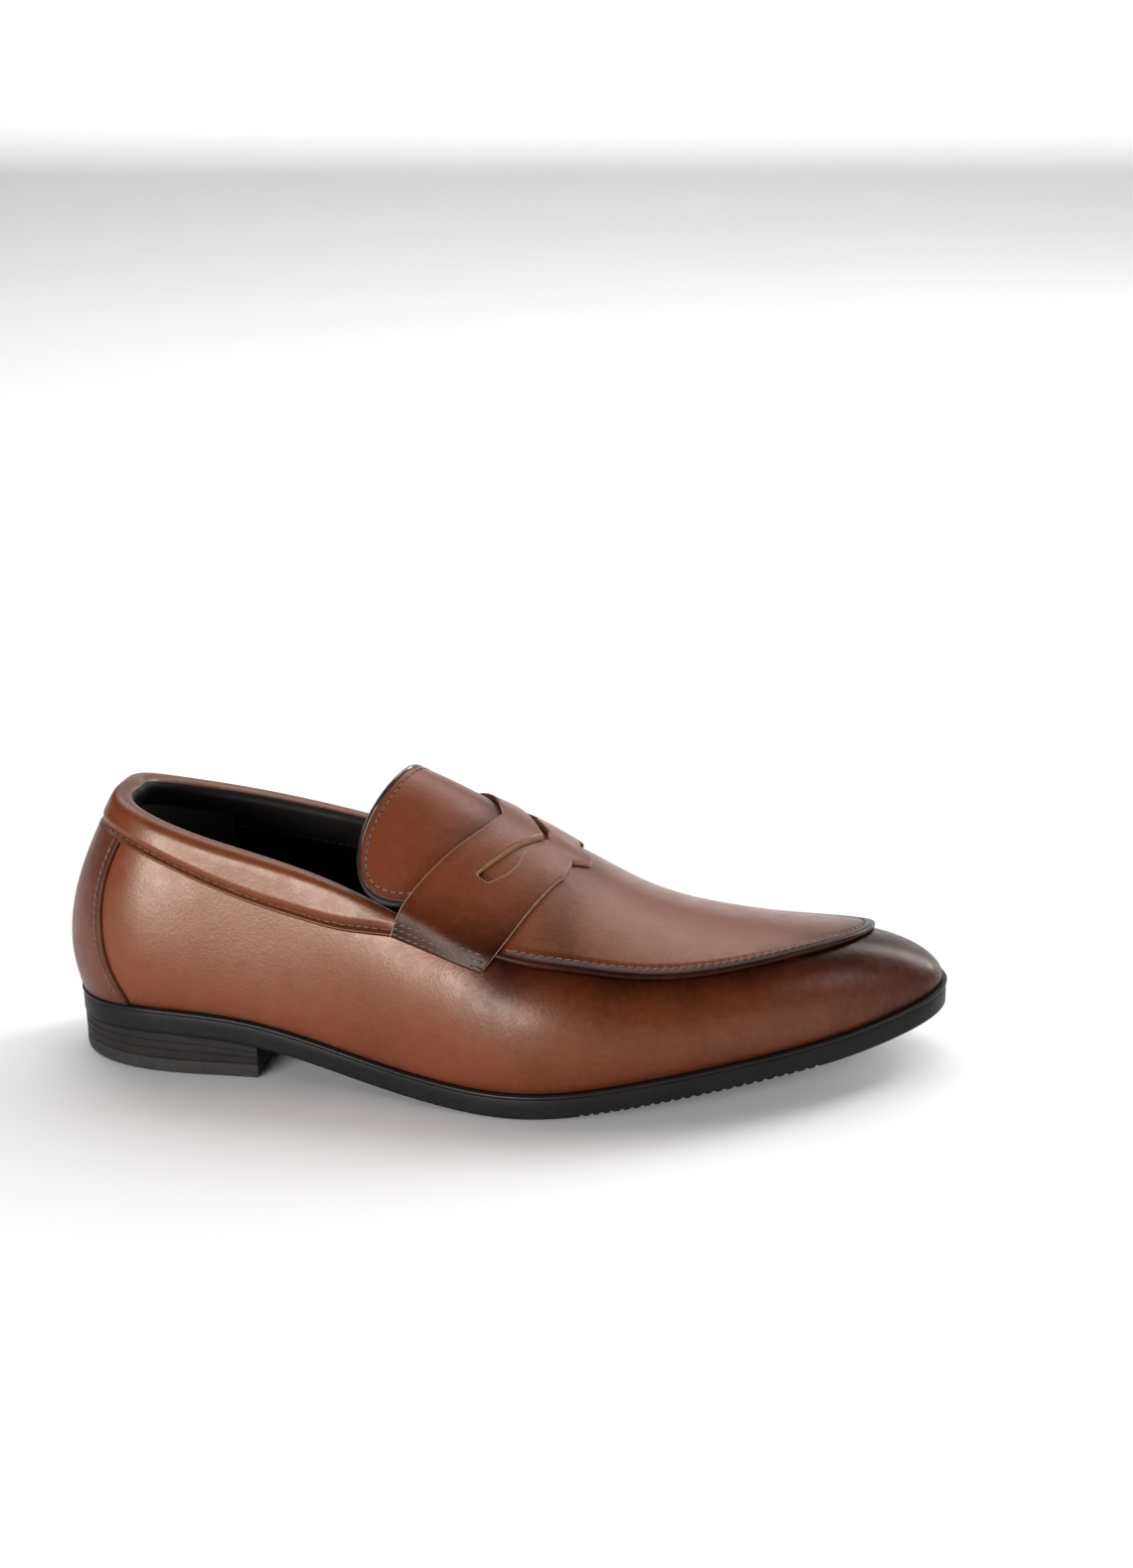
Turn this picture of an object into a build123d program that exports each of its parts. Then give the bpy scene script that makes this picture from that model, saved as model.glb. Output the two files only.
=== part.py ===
"""Right-foot penny loafer, men's EU 43: a cemented dress shoe on a low stacked heel.

Millimetres.  +X runs from heel to toe, +Y to the medial (inner) side, +Z up.
The origin is on the ground, under the middle of the shoe's bounding box.
"""
from build123d import *
import os
import numpy as np

# ---------------------------------------------------------------- driving dimensions
LENGTH = 300.0            # heel to toe, over the sole
HEEL_X = -LENGTH / 2      # back of the heel
BREAST_X = -79.0          # front face of the heel
SOLE_THICK = 8.6          # edge of the sole, rand included
RAND_THICK = 1.5          # moulded rand that the upper sits on
SHELF = 1.8               # how far the sole stands out beyond the upper
TOP_PIECE = 5.0           # rubber lift under the heel
TREAD_PITCH = 3.2
TREAD_DEPTH = 0.9
LEATHER = 1.2             # upper leather
STIFFENER = 0.7           # heel counter
PUFF = 0.5                # toe puff
LINING = 0.8
GAP = 0.1                 # cement line between two layers
BOARD = 1.8               # insole board
SOCK = 1.0                # sock liner
HEEL_PAD = 3.0            # foam under the sock liner's heel
COLLAR_WIDTH = 6.5        # padded roll at the heel
COLLAR_LIP = 0.5          # how far the collar band stands proud of the quarter
TRIM_LEATHER = 1.0        # counter panel
PLUG = 1.9                # apron and tongue leather, turned edge included
STRAP = 1.6
STITCH_PITCH = 4.0
STITCH = (2.6, 0.8, 0.5)  # length, width and height of one stitch
TONGUE_PIVOT = (0.0, 85.5)  # x and z of the line that the tongue bends on

# ---------------------------------------------------------------- the last
# One row per point round the sole's edge, from the back of the heel along the lateral side
# to the toe and back along the medial side: x and y of the edge, then how far in and how high
# the wall's top edge is, how far the wall bellies out, and the slope (degrees) and the
# length of its shoulder.
LAST = np.array([
    (-150.0, 1.6, 17.5, 91.0, 6.5, 59, 35),
    (-142.0, -19.4, 13.0, 90.5, 5.5, 62, 32),
    (-120.0, -30.9, 6.5, 86.5, 4.0, 72, 28),
    (-88.0, -32.6, 3.5, 77.5, 2.5, 82, 22),
    (-51.0, -36.5, 4.0, 68.5, 2.0, 75, 20),
    (-16.0, -46.7, 6.0, 57.5, 2.5, 60, 18),
    (13.0, -52.7, 7.0, 52.5, 3.0, 48, 18),
    (39.0, -49.7, 7.0, 49.0, 3.0, 42, 17),
    (72.0, -39.9, 6.5, 46.5, 3.0, 38, 14),
    (105.6, -23.9, 8.0, 46.5, 2.5, 30, 12),
    (132.0, -5.2, 14.5, 47.5, 2.0, 22, 12),
    (147.5, 19.9, 24.5, 47.5, 1.5, 16, 15),
    (142.0, 36.6, 22.5, 46.5, 1.5, 18, 15),
    (122.0, 46.9, 18.0, 46.0, 2.0, 24, 14),
    (94.0, 51.9, 14.5, 45.5, 2.5, 30, 14),
    (62.0, 51.8, 11.5, 46.0, 3.0, 37, 15),
    (30.0, 45.6, 7.0, 50.0, 3.0, 50, 17),
    (-5.0, 37.6, 4.0, 59.0, 2.0, 62, 20),
    (-40.0, 31.1, 3.0, 70.5, 2.0, 76, 22),
    (-80.0, 32.6, 3.0, 78.0, 2.5, 82, 24),
    (-117.0, 32.6, 6.0, 84.0, 4.0, 72, 28),
    (-141.0, 21.6, 12.5, 89.5, 5.5, 62, 32),
])


def cubic(knots, values, periodic=False):
    """A C2 cubic spline through values at knots, as a function."""
    knots = np.asarray(knots, float)
    values = np.asarray(values, float)
    steps = np.diff(knots)
    spans = len(steps)
    size = spans if periodic else spans + 1
    matrix = np.eye(size)
    right = np.zeros((size,) + values.shape[1:])
    for i in range(size):
        if not periodic and i in (0, spans):
            continue
        before, after = steps[i - 1], steps[i % spans]
        previous, following = (i - 1) % size, (i + 1) % size
        behind = values[spans - 1] if i == 0 else values[i - 1]
        matrix[i] = 0
        matrix[i, previous] += before
        matrix[i, i] += 2 * (before + after)
        matrix[i, following] += after
        right[i] = 6 * ((values[i + 1] - values[i]) / after - (values[i] - behind) / before)
    curvature = np.linalg.solve(matrix, right)
    if periodic:
        curvature = np.concatenate([curvature, curvature[:1]])

    def evaluate(x):
        x = np.asarray(x, float)
        if periodic:
            x = (x - knots[0]) % (knots[-1] - knots[0]) + knots[0]
        i = np.clip(np.searchsorted(knots, x, side="right") - 1, 0, spans - 1)
        step = steps[i]
        a = (knots[i + 1] - x) / step
        b = (x - knots[i]) / step
        if values.ndim == 2:
            a, b, step = a[..., None], b[..., None], step[..., None]
        bend = (a**3 - a) * curvature[i] + (b**3 - b) * curvature[i + 1]
        return a * values[i] + b * values[i + 1] + bend * step**2 / 6

    return evaluate


def smooth(x, start, end):
    """0 before start, 1 after end, with a smooth ramp between them."""
    t = np.clip((x - start) / (end - start), 0, 1)
    return t * t * (3 - 2 * t)


def unit(vector):
    return vector / np.linalg.norm(vector, axis=-1, keepdims=True)


CLOSED = np.concatenate([LAST, LAST[:1]])
GIRTH = np.concatenate([[0], np.cumsum(np.hypot(*np.diff(CLOSED[:, :2], axis=0).T))])
last_row = cubic(GIRTH / GIRTH[-1], CLOSED, periodic=True)

# ground-to-feather height of the rand's top along the shoe, and the lengthwise spine that
# the wall's section planes aim at
sole_top = cubic(
    [-150, -115, -80, -45, -10, 10, 30, 55, 90, 120, 150],
    [21.3, 23.0, 20.0, 12.8, 9.0, 8.6, 9.6, 12.7, 17.3, 21.3, 27.2],
)
SPINE_START, SPINE_END, SPINE_EASE = -114.0, 85.0, 14.0
spine_y = cubic([-114, -30, 30, 85], [1.6, -0.4, -0.4, 8.6])

# the top sheet that the tongue, the strap and the apron lie on: the height, the place and the
# roundness of its ridge, and the slope of its sides
ridge_height = cubic(
    [-50, -32, -17, 0, 13, 30, 42, 57, 75, 94, 110, 122, 145],
    [107, 99.3, 92.4, 83.2, 76.2, 67.6, 61.6, 56.2, 52.6, 50.2, 48.6, 47.0, 42],
)
side_slope = cubic([-50, -32, -17, 0, 30, 70, 97, 145], [1.2, 1.08, 0.96, 0.82, 0.69, 0.64, 0.62, 0.6])
ridge_round = cubic([-50, -32, -17, 0, 30, 70, 97, 145], [12, 12, 13, 16, 24, 32, 34, 34])
ridge_y = cubic([-50, 0, 20, 42, 60, 97, 122, 145], [4.1, 4.6, 2.5, -1.0, -2.0, -1.0, 2.0, 6.0])


def sheet(x, y, rise=0.0):
    """Height of the top sheet, or of a surface lying rise above it."""
    def base(px, py):
        away = py - ridge_y(px)
        round_ = ridge_round(px)
        return ridge_height(px) - side_slope(px) * (np.sqrt(away**2 + round_**2) - round_)
    along = (base(x + 0.5, y) - base(x - 0.5, y))
    across = (base(x, y + 0.5) - base(x, y - 0.5))
    return base(x, y) + rise * np.sqrt(1 + along**2 + across**2)


def sole_edge(u, inset=0.0):
    """Point of the sole's edge at the share u of its girth, moved in by inset."""
    ahead, behind = last_row(u + 1e-4), last_row(u - 1e-4)
    along = unit(ahead[..., :2] - behind[..., :2])
    inward = np.stack([-along[..., 1], along[..., 0]], -1)
    return last_row(u)[..., :2] + inset * inward


def feather(u):
    return sole_edge(u, SHELF)


def section_inward(u):
    """Horizontal direction of the wall's section plane at u, towards the spine."""
    foot = feather(u)
    x = foot[..., 0]
    centre = SPINE_START + SPINE_EASE * (
        np.log1p(np.exp((x - SPINE_START) / SPINE_EASE)) - np.log1p(np.exp((x - SPINE_END) / SPINE_EASE))
    )
    spine = np.stack([centre, spine_y(np.clip(centre, SPINE_START, SPINE_END))], -1)
    return unit(spine - foot)


def wall_top(u):
    """Plan place and height of the wall's top edge."""
    row = last_row(u)
    place = feather(u) + row[..., 2:3] * section_inward(u)
    x, y = place[..., 0], place[..., 1]
    under_plug = smooth(x, -20, 5)
    height = row[..., 3] * (1 - under_plug) + (sheet(x, y) - 0.3) * under_plug
    return np.concatenate([place, height[..., None]], -1)


def profile(u, v0, v1, depth):
    """Bezier points of the wall's profile at u from v0 to v1, depth below the outer face.

    depth is one number, or one for each of the curve's four points.
    """
    row = last_row(u)
    foot = float(sole_top(feather(u)[0])) + 0.25
    top = wall_top(u)[2]
    angle = np.radians(row[5])
    shoulder = row[6] * np.array([np.cos(angle), np.sin(angle)])
    points = np.array([
        (0, foot),
        (-row[4], foot + 0.28 * (top - foot)),
        np.array([row[2], top]) - shoulder,
        (row[2], top),
    ])
    legs = unit(np.diff(points, axis=0))
    normals = np.stack([legs[:, 1], -legs[:, 0]], -1)
    before = np.concatenate([normals[:1], normals])
    after = np.concatenate([normals, normals[-1:]])
    miters = (before + after) / (1 + np.sum(before * after, axis=1, keepdims=True))
    points = points + np.reshape(np.broadcast_to(depth, 4), (4, 1)) * miters

    def blossom(a, b, c):
        level = points
        for t in (a, b, c):
            level = level[:-1] * (1 - t) + level[1:] * t
        return tuple(float(value) for value in level[0])

    return [blossom(v0, v0, v0), blossom(v0, v0, v1), blossom(v0, v1, v1), blossom(v1, v1, v1)]


def section_plane(u):
    """Upright plane through the feather line: local x inward, local y up."""
    foot, inward = feather(u), section_inward(u)
    return Plane(
        origin=(foot[0], foot[1], 0),
        x_dir=(inward[0], inward[1], 0),
        z_dir=(inward[1], -inward[0], 0),
    )


def wall_point(u, v, depth=0.0):
    """Point in space of the wall's profile."""
    s, z = profile(u, v, v, depth)[0]
    x, y = feather(u) + s * section_inward(u)
    return np.array([x, y, z])


ROUND_THE_SOLE = np.linspace(0, 1, 2001)
FEATHER_X = feather(ROUND_THE_SOLE)[:, 0]
TOE = ROUND_THE_SOLE[np.argmax(FEATHER_X)]


def lateral(x):
    """Share of the girth where the lateral feather line passes x."""
    side = ROUND_THE_SOLE <= TOE
    return float(np.interp(x, FEATHER_X[side], ROUND_THE_SOLE[side]))


def medial(x):
    """Share of the girth where the medial feather line passes x."""
    side = ROUND_THE_SOLE >= TOE
    return float(np.interp(-x, -FEATHER_X[side], ROUND_THE_SOLE[side]))


def shares(start, end, step=0.02):
    """Evenly spaced shares of the girth from start to end."""
    return np.linspace(start, end, int(np.ceil((end - start) / step)) + 1)


# places along the girth where pieces start and end
COLLAR_END_X = -22.0
STITCH_END_X = -34.0      # where the collar's stitching runs under the strap
LINING_SEAM_X = -102.0
VAMP_SEAM_X = -14.0
COLLAR_LATERAL = lateral(COLLAR_END_X)
COLLAR_MEDIAL = medial(COLLAR_END_X) - 1


seam_share = cubic([-150, -126, -105, -79, -64, -48, -32, -22], [0.865, 0.885, 0.855, 0.79, 0.78, 0.80, 0.88, 0.93])


def collar_seam(u):
    """Share of the profile's height where the collar band meets the quarter."""
    x = feather(u)[..., 0]
    return seam_share(np.clip(x, -150, -22)) + 0.07 * smooth(x, -24, -6)


def collar_width(u):
    """Thickness of the padded roll."""
    x = feather(u)[..., 0]
    return COLLAR_WIDTH - 2.5 * smooth(x, -90, -25)


def inside_depth(u):
    """Depths of the lining's inner face, which the padding pushes in towards the top."""
    width = float(collar_width(u))
    return np.array([3.4, 3.4, 0.5 * (3.4 + width), width])


# ---------------------------------------------------------------- section sketches
def wall_section(u, v0, v1, outer, inner):
    """Slice of a wall layer between two depths."""
    with BuildSketch(section_plane(u)) as section:
        with BuildLine():
            outside = Bezier(*profile(u, v0, v1, outer))
            inside = Bezier(*profile(u, v0, v1, inner))
            Line(outside @ 0, inside @ 0)
            Line(outside @ 1, inside @ 1)
        make_face()
    return section.sketch


def roll(start, start_way, end, end_way):
    """Bezier points of a rounded edge from start over the top to end."""
    start, end = np.array(start), np.array(end)
    reach = 0.62 * np.linalg.norm(end - start)
    points = [start, start + reach * start_way, end + reach * end_way, end]
    return [tuple(float(value) for value in point) for point in points]


def way_up(points):
    """Direction in which a profile leaves its top end."""
    return unit(np.array(points[3]) - np.array(points[2]))


LEAF_START = 0.95         # share of the height where the collar's inner leaf begins


def collar_section(u):
    """The collar band: outer leaf, roll over the top and inner leaf, one leather thick."""
    seam = float(collar_seam(u))
    inner = inside_depth(u)
    outer_leaf = profile(u, seam, 1, -COLLAR_LIP)
    outer_back = profile(u, seam, 1, LEATHER - COLLAR_LIP)
    inner_leaf = profile(u, LEAF_START, 1, inner)
    inner_back = profile(u, LEAF_START, 1, inner - LEATHER)
    with BuildSketch(section_plane(u)) as section:
        with BuildLine():
            Bezier(*outer_leaf)
            Bezier(*roll(outer_leaf[3], way_up(outer_leaf), inner_leaf[3], way_up(inner_leaf)))
            Bezier(*inner_leaf)
            Line(inner_leaf[0], inner_back[0])
            Bezier(*inner_back)
            Bezier(*roll(outer_back[3], way_up(outer_back), inner_back[3], way_up(inner_back)))
            Bezier(*outer_back)
            Line(outer_back[0], outer_leaf[0])
        make_face()
    return section.sketch


def foam_section(u):
    """The padding inside the collar band, tapering away below the seam."""
    low = float(collar_seam(u)) + 0.002
    outside = profile(u, low, 1, LEATHER - COLLAR_LIP + GAP)
    inside = profile(u, low, 1, inside_depth(u) - LEATHER - GAP)
    with BuildSketch(section_plane(u)) as section:
        with BuildLine():
            Bezier(*outside)
            Bezier(*roll(outside[3], way_up(outside), inside[3], way_up(inside)))
            Bezier(*inside)
            Line(inside[0], outside[0])
        make_face()
    return section.sketch


def sheet_section(x, half_width, low, high):
    """Slice of the top sheet at x between two heights above it."""
    across = ridge_y(x) + np.linspace(-half_width, half_width, 13)
    upper = [(float(y), float(sheet(x, y, high))) for y in across]
    lower = [(float(y), float(sheet(x, y, low))) for y in across]
    with BuildSketch(Plane.YZ.offset(x)) as section:
        with BuildLine():
            Spline(*upper)
            Spline(*lower)
            Line(upper[0], lower[0])
            Line(upper[-1], lower[-1])
        make_face()
    return section.sketch


def plan_outline(inset):
    """Outline of the sole's edge seen from above, moved in by inset."""
    edge = sole_edge(np.linspace(0, 1, 73)[:-1], inset)
    with BuildSketch(Plane.XY) as outline:
        with BuildLine():
            Spline(*[tuple(point) for point in edge], periodic=True)
        make_face()
    return outline.sketch


def side_band(low, high, start, end):
    """Side view of a layer between two heights along the shoe."""
    along = np.linspace(start, end, 25)
    floor = [(float(x), float(low(x))) for x in along]
    roof = [(float(x), float(high(x))) for x in along]
    with BuildSketch(Plane.XZ) as band:
        with BuildLine():
            Spline(*floor)
            Spline(*roof)
            Line(floor[0], roof[0])
            Line(floor[-1], roof[-1])
        make_face()
    return band.sketch


def above_sole(rise):
    """Height curve that lies rise above the rand's top."""
    return lambda x: sole_top(x) + rise


REACH = 70.0              # more than half the shoe's width
TALL = 130.0              # more than its height
PAST_END = 160.0          # beyond heel and toe

# ---------------------------------------------------------------- bottom of the shoe
TREAD = np.arange(32.0, 110.0, TREAD_PITCH)


def tread_line():
    """Underside of the forepart: a saw-tooth that follows the sole's curve."""
    points = []
    for x in TREAD:
        for step, lift in ((0, 0), (0.5 * TREAD_PITCH, 0), (0.6 * TREAD_PITCH, TREAD_DEPTH),
                           (0.9 * TREAD_PITCH, TREAD_DEPTH)):
            under = float(sole_top(x + step)) - SOLE_THICK
            points.append((float(x + step), under + lift))
    return points


def under_sole(start, end, count):
    along = np.linspace(start, end, count)
    return [(float(x), float(sole_top(x)) - SOLE_THICK) for x in along]


with BuildPart() as outsole:
    extrude(plan_outline(0.3), amount=TALL)
    with BuildSketch(Plane.XZ) as sole_side:
        tread = tread_line()
        shank_side = under_sole(-PAST_END, tread[0][0], 15)
        toe_side = under_sole(tread[-1][0] + 0.1 * TREAD_PITCH, PAST_END, 7)
        roof = [(x, z + SOLE_THICK - RAND_THICK - 0.05) for x, z in under_sole(-PAST_END, PAST_END, 33)]
        with BuildLine():
            Spline(*shank_side)
            Polyline(*tread, toe_side[0])
            Spline(*toe_side)
            Spline(*roof)
            Line(shank_side[0], roof[0])
            Line(toe_side[-1], roof[-1])
        make_face()
    extrude(amount=REACH, both=True, mode=Mode.INTERSECT)

with BuildPart() as rand:
    extrude(plan_outline(0.0), amount=TALL)
    extrude(plan_outline(SHELF + 5.0), amount=TALL, mode=Mode.SUBTRACT)
    extrude(side_band(above_sole(-RAND_THICK), above_sole(0), -PAST_END, PAST_END), amount=REACH, both=True,
            mode=Mode.INTERSECT)

with BuildPart() as heel_block:
    extrude(plan_outline(0.6), amount=TALL)
    extrude(side_band(lambda x: TOP_PIECE + 0.05, above_sole(-SOLE_THICK - 0.05), -PAST_END, BREAST_X),
            amount=REACH, both=True, mode=Mode.INTERSECT)

with BuildPart() as heel_top_piece:
    extrude(plan_outline(0.6), amount=TALL)
    extrude(side_band(lambda x: 0.0, lambda x: TOP_PIECE, -PAST_END, BREAST_X), amount=REACH, both=True,
            mode=Mode.INTERSECT)

NAIL_RADIUS = 1.1
NAIL_HEAD = (2.6, 0.7)    # radius and height of a heel nail's head
NAIL_ROOM = 1.2           # space for the heads between the board and the heel pad
NAIL_FOOT = 8.0           # height of the nails' points above the ground
NAILS = [(-136.0, 1.6), (-122.0, -14.0), (-122.0, 17.0), (-98.0, -15.0), (-98.0, 18.0)]
RECESS = SHELF + 3.9      # inset of the bottom layers that lie inside the walls


def bottom_layer(inset, low, high, start=-PAST_END, end=PAST_END):
    """Profiles of a sheet that lies between two heights above the rand."""
    return plan_outline(inset), side_band(above_sole(low), above_sole(high), start, end)


BOARD_LOW = 0.3
BOARD_TOP = BOARD_LOW + BOARD
SHANK = (-100.0, 5.0, 6.0)  # start, end and half width of the steel shank
SHANK_THICK = 1.2

with BuildPart() as shank:
    with BuildSketch(Plane.XY):
        with Locations(((SHANK[0] + SHANK[1]) / 2, 0)):
            SlotOverall(SHANK[1] - SHANK[0], 2 * SHANK[2])
    extrude(amount=TALL)
    extrude(side_band(above_sole(BOARD_LOW - GAP - SHANK_THICK), above_sole(BOARD_LOW - GAP), SHANK[0] - 5,
                      SHANK[1] + 5), amount=REACH, both=True, mode=Mode.INTERSECT)

with BuildPart() as bottom_filler:
    plan, side = bottom_layer(SHELF + 5.4, -RAND_THICK, BOARD_LOW - GAP)
    extrude(plan, amount=TALL)
    extrude(side, amount=REACH, both=True, mode=Mode.INTERSECT)
    with BuildSketch(Plane.XY):
        with Locations(((SHANK[0] + SHANK[1]) / 2, 0)):
            SlotOverall(SHANK[1] - SHANK[0] + 0.4, 2 * SHANK[2] + 0.4)
    extrude(amount=TALL, mode=Mode.SUBTRACT)

with BuildPart() as insole_board:
    plan, side = bottom_layer(RECESS, BOARD_LOW, BOARD_TOP)
    extrude(plan, amount=TALL)
    extrude(side, amount=REACH, both=True, mode=Mode.INTERSECT)


def pad_rise(x):
    """Thickness of the heel pad, which thins out to nothing at the waist."""
    return 0.4 + (HEEL_PAD - 0.4) * (1 - smooth(x, -105, -70))


PAD_END = -72.5
with BuildPart() as heel_pad:
    extrude(plan_outline(RECESS + 2.0), amount=TALL)
    extrude(side_band(above_sole(BOARD_TOP + NAIL_ROOM), lambda x: sole_top(x) + BOARD_TOP + NAIL_ROOM + pad_rise(x),
                      -PAST_END, PAD_END), amount=REACH, both=True, mode=Mode.INTERSECT)


def sock_low(x):
    return sole_top(x) + BOARD_TOP + GAP + (NAIL_ROOM + pad_rise(x)) * (1 - smooth(x, -72, -60))


with BuildPart() as sock_liner:
    extrude(plan_outline(RECESS + 0.4), amount=TALL)
    extrude(side_band(sock_low, lambda x: sock_low(x) + SOCK, -PAST_END, PAST_END), amount=REACH, both=True,
            mode=Mode.INTERSECT)

with BuildPart() as heel_nails:
    for x, y in NAILS:
        head_top = float(sole_top(x)) + BOARD_TOP + 0.2 + NAIL_HEAD[1]
        with BuildSketch(Plane.XY.offset(NAIL_FOOT)):
            with Locations((x, y)):
                Circle(NAIL_RADIUS)
        extrude(amount=head_top - NAIL_FOOT)
        with BuildSketch(Plane.XY.offset(head_top)):
            with Locations((x, y)):
                Circle(NAIL_HEAD[0])
        extrude(amount=-NAIL_HEAD[1])

# the nails pass through everything between the heel block and the insole board
for layer in (outsole, heel_block, bottom_filler, insole_board):
    with layer:
        with BuildSketch(Plane.XY.offset(NAIL_FOOT - 0.2)):
            with Locations(*NAILS):
                Circle(NAIL_RADIUS + 0.05)
        extrude(amount=TALL, mode=Mode.SUBTRACT)

# ---------------------------------------------------------------- upper and its stiffeners
BACK_SEAM = 0.0004        # half the gap at the back seam, as a share of the girth
with BuildPart() as upper_wall:
    loft(sections=[
        wall_section(u, 0, float(collar_seam(u)) - 0.008, 0, LEATHER)
        for u in shares(BACK_SEAM, 1 - BACK_SEAM, 0.022)
    ])

COUNTER_END = 0.09        # how far round the heel the counter panel reaches
COUNTER_EDGE = [(-122.0, 84.0), (-127.5, 74.0), (-132.0, 60.0), (-132.5, 47.0), (-130.0, 35.0), (-124.0, 22.0),
                (-121.0, 10.0)]
with BuildPart() as counter_panel:
    loft(sections=[
        wall_section(u, 0.01, float(collar_seam(u)) - 0.008, -TRIM_LEATHER - 2 * GAP, -2 * GAP)
        for u in shares(-COUNTER_END, COUNTER_END, 0.018)
    ])
    with BuildSketch(Plane.XZ):
        with BuildLine():
            edge = Spline(*COUNTER_EDGE)
            Polyline(edge @ 0, (-PAST_END, COUNTER_EDGE[0][1]), (-PAST_END, COUNTER_EDGE[-1][1]), edge @ 1)
        make_face()
    extrude(amount=REACH, both=True, mode=Mode.INTERSECT)

with BuildPart() as heel_stiffener:
    loft(sections=[
        wall_section(u, 0.01, float(collar_seam(u)) - 0.06, LEATHER + 3 * GAP, LEATHER + 3 * GAP + STIFFENER)
        for u in shares(medial(-85) - 1, lateral(-85), 0.02)
    ])

PUFF_X = 98.0             # where the toe puff starts
PUFF_DEPTH = LEATHER + 3 * GAP
with BuildPart() as toe_puff:
    loft(sections=[
        wall_section(u, 0.03, 0.94, PUFF_DEPTH, PUFF_DEPTH + PUFF)
        for u in shares(lateral(PUFF_X), medial(PUFF_X), 0.011)
    ])

# ---------------------------------------------------------------- collar
with BuildPart() as collar_band:
    loft(sections=[collar_section(u) for u in shares(COLLAR_MEDIAL, COLLAR_LATERAL, 0.022)])

with BuildPart() as collar_foam:
    loft(sections=[foam_section(u) for u in shares(COLLAR_MEDIAL, COLLAR_LATERAL, 0.022)])


# ---------------------------------------------------------------- linings
def lining_section(u):
    """Slice of the lining that the collar's inner leaf overlaps at the top."""
    inner = inside_depth(u)
    return wall_section(u, 0.05, LEAF_START - 0.01, inner - LINING, inner)


SEAM_GAP = 0.0006         # half the gap at a lining seam, as a share of the girth
with BuildPart() as heel_lining:
    loft(sections=[
        lining_section(u)
        for u in shares(medial(LINING_SEAM_X) - 1 + SEAM_GAP, lateral(LINING_SEAM_X) - SEAM_GAP, 0.014)
    ])

with BuildPart() as quarter_lining_lateral:
    loft(sections=[
        lining_section(u) for u in shares(lateral(LINING_SEAM_X) + SEAM_GAP, lateral(COLLAR_END_X), 0.02)
    ])

with BuildPart() as quarter_lining_medial:
    loft(sections=[
        lining_section(u) for u in shares(medial(COLLAR_END_X), medial(LINING_SEAM_X) - SEAM_GAP, 0.02)
    ])

VAMP_DEPTH = LEATHER + STIFFENER + 4 * GAP
with BuildPart() as vamp_lining:
    loft(sections=[
        wall_section(u, 0.03, 0.96, VAMP_DEPTH, VAMP_DEPTH + LINING)
        for u in shares(lateral(VAMP_SEAM_X), medial(VAMP_SEAM_X), 0.022)
    ])

# ---------------------------------------------------------------- apron
SHEET_STATIONS = np.linspace(-20, 150, 18)
APRON_REAR = (4.0, 0.6)   # point of the V that the apron ends in, under the strap


def plug_outline(outset, rear_shift=0.0):
    """Plan of the apron: the wall's top edge moved out by outset, with a V at the rear."""
    rim = wall_top(np.linspace(lateral(-12), medial(-12), 41))[:, :2]
    along = unit(np.gradient(rim, axis=0))
    rim = rim + outset * np.stack([along[:, 1], -along[:, 0]], -1)
    rear = (APRON_REAR[0] + rear_shift, APRON_REAR[1])
    with BuildSketch(Plane.XY) as outline:
        with BuildLine():
            edge = Spline(*[tuple(point) for point in rim])
            Polyline(edge @ 1, rear, edge @ 0)
        make_face()
    return outline.sketch


with BuildPart() as apron:
    loft(sections=[sheet_section(x, 52, 0.1, PLUG) for x in SHEET_STATIONS])
    extrude(plug_outline(0.9), amount=TALL, mode=Mode.INTERSECT)

with BuildPart() as apron_lining:
    loft(sections=[sheet_section(x, 52, -0.2 - LINING, -0.2) for x in SHEET_STATIONS])
    extrude(plug_outline(-4.2, 3.0), amount=TALL, mode=Mode.INTERSECT)

# ---------------------------------------------------------------- tongue
TONGUE_PLANE = Plane(origin=(-20, 1.6, 90), x_dir=(-0.866, 0, 0.5), z_dir=(0.5, 0, 0.866))
# the tongue's free edge in that plane, from the lateral end of the strap round to the medial end
TONGUE_EDGE = np.array([
    (-16.0, 34.0), (-5.0, 35.5), (4.0, 35.5), (11.0, 32.5), (16.5, 26.0), (19.2, 17.0), (18.6, 6.0), (15.0, -6.0),
    (9.0, -18.0), (2.0, -26.5), (-6.0, -31.5), (-16.0, -34.0),
])
TONGUE_STATIONS = np.linspace(-60, 6, 12)
STRAP_REAR = [(0.0, 0.0), (-11.5, 19.4), (-19.5, 29.5), (-26.6, 39.0), (-32.0, 50.0)]
STRAP_MID_Y = 0.6


def tongue_line(inset):
    """The free edge moved in by inset."""
    along = unit(np.gradient(TONGUE_EDGE, axis=0))
    return TONGUE_EDGE + inset * np.stack([along[:, 1], -along[:, 0]], -1)


def tongue_outline(inset):
    """The tongue's rounded free edge, in the plane it leans in."""
    with BuildSketch(TONGUE_PLANE) as outline:
        with BuildLine():
            free = Spline(*[tuple(place) for place in tongue_line(inset)])
            Polyline(free @ 1, (-70, free.position_at(1).Y), (-70, free.position_at(0).Y), free @ 0)
        make_face()
    return outline.sketch


def behind_strap(clearance):
    """Plan region behind the strap's rear edge."""
    lateral_side = [(x - clearance, STRAP_MID_Y - y) for x, y in STRAP_REAR]
    medial_side = [(x - clearance, STRAP_MID_Y + y) for x, y in reversed(STRAP_REAR[1:])]
    with BuildSketch(Plane.XY) as region:
        with BuildLine():
            Polyline(*medial_side, *lateral_side, (-80, -50), (-80, 50), close=True)
        make_face()
    return region.sketch


def tongue_layer(low, high):
    return [sheet_section(x, 44, low, high) for x in TONGUE_STATIONS]


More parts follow.
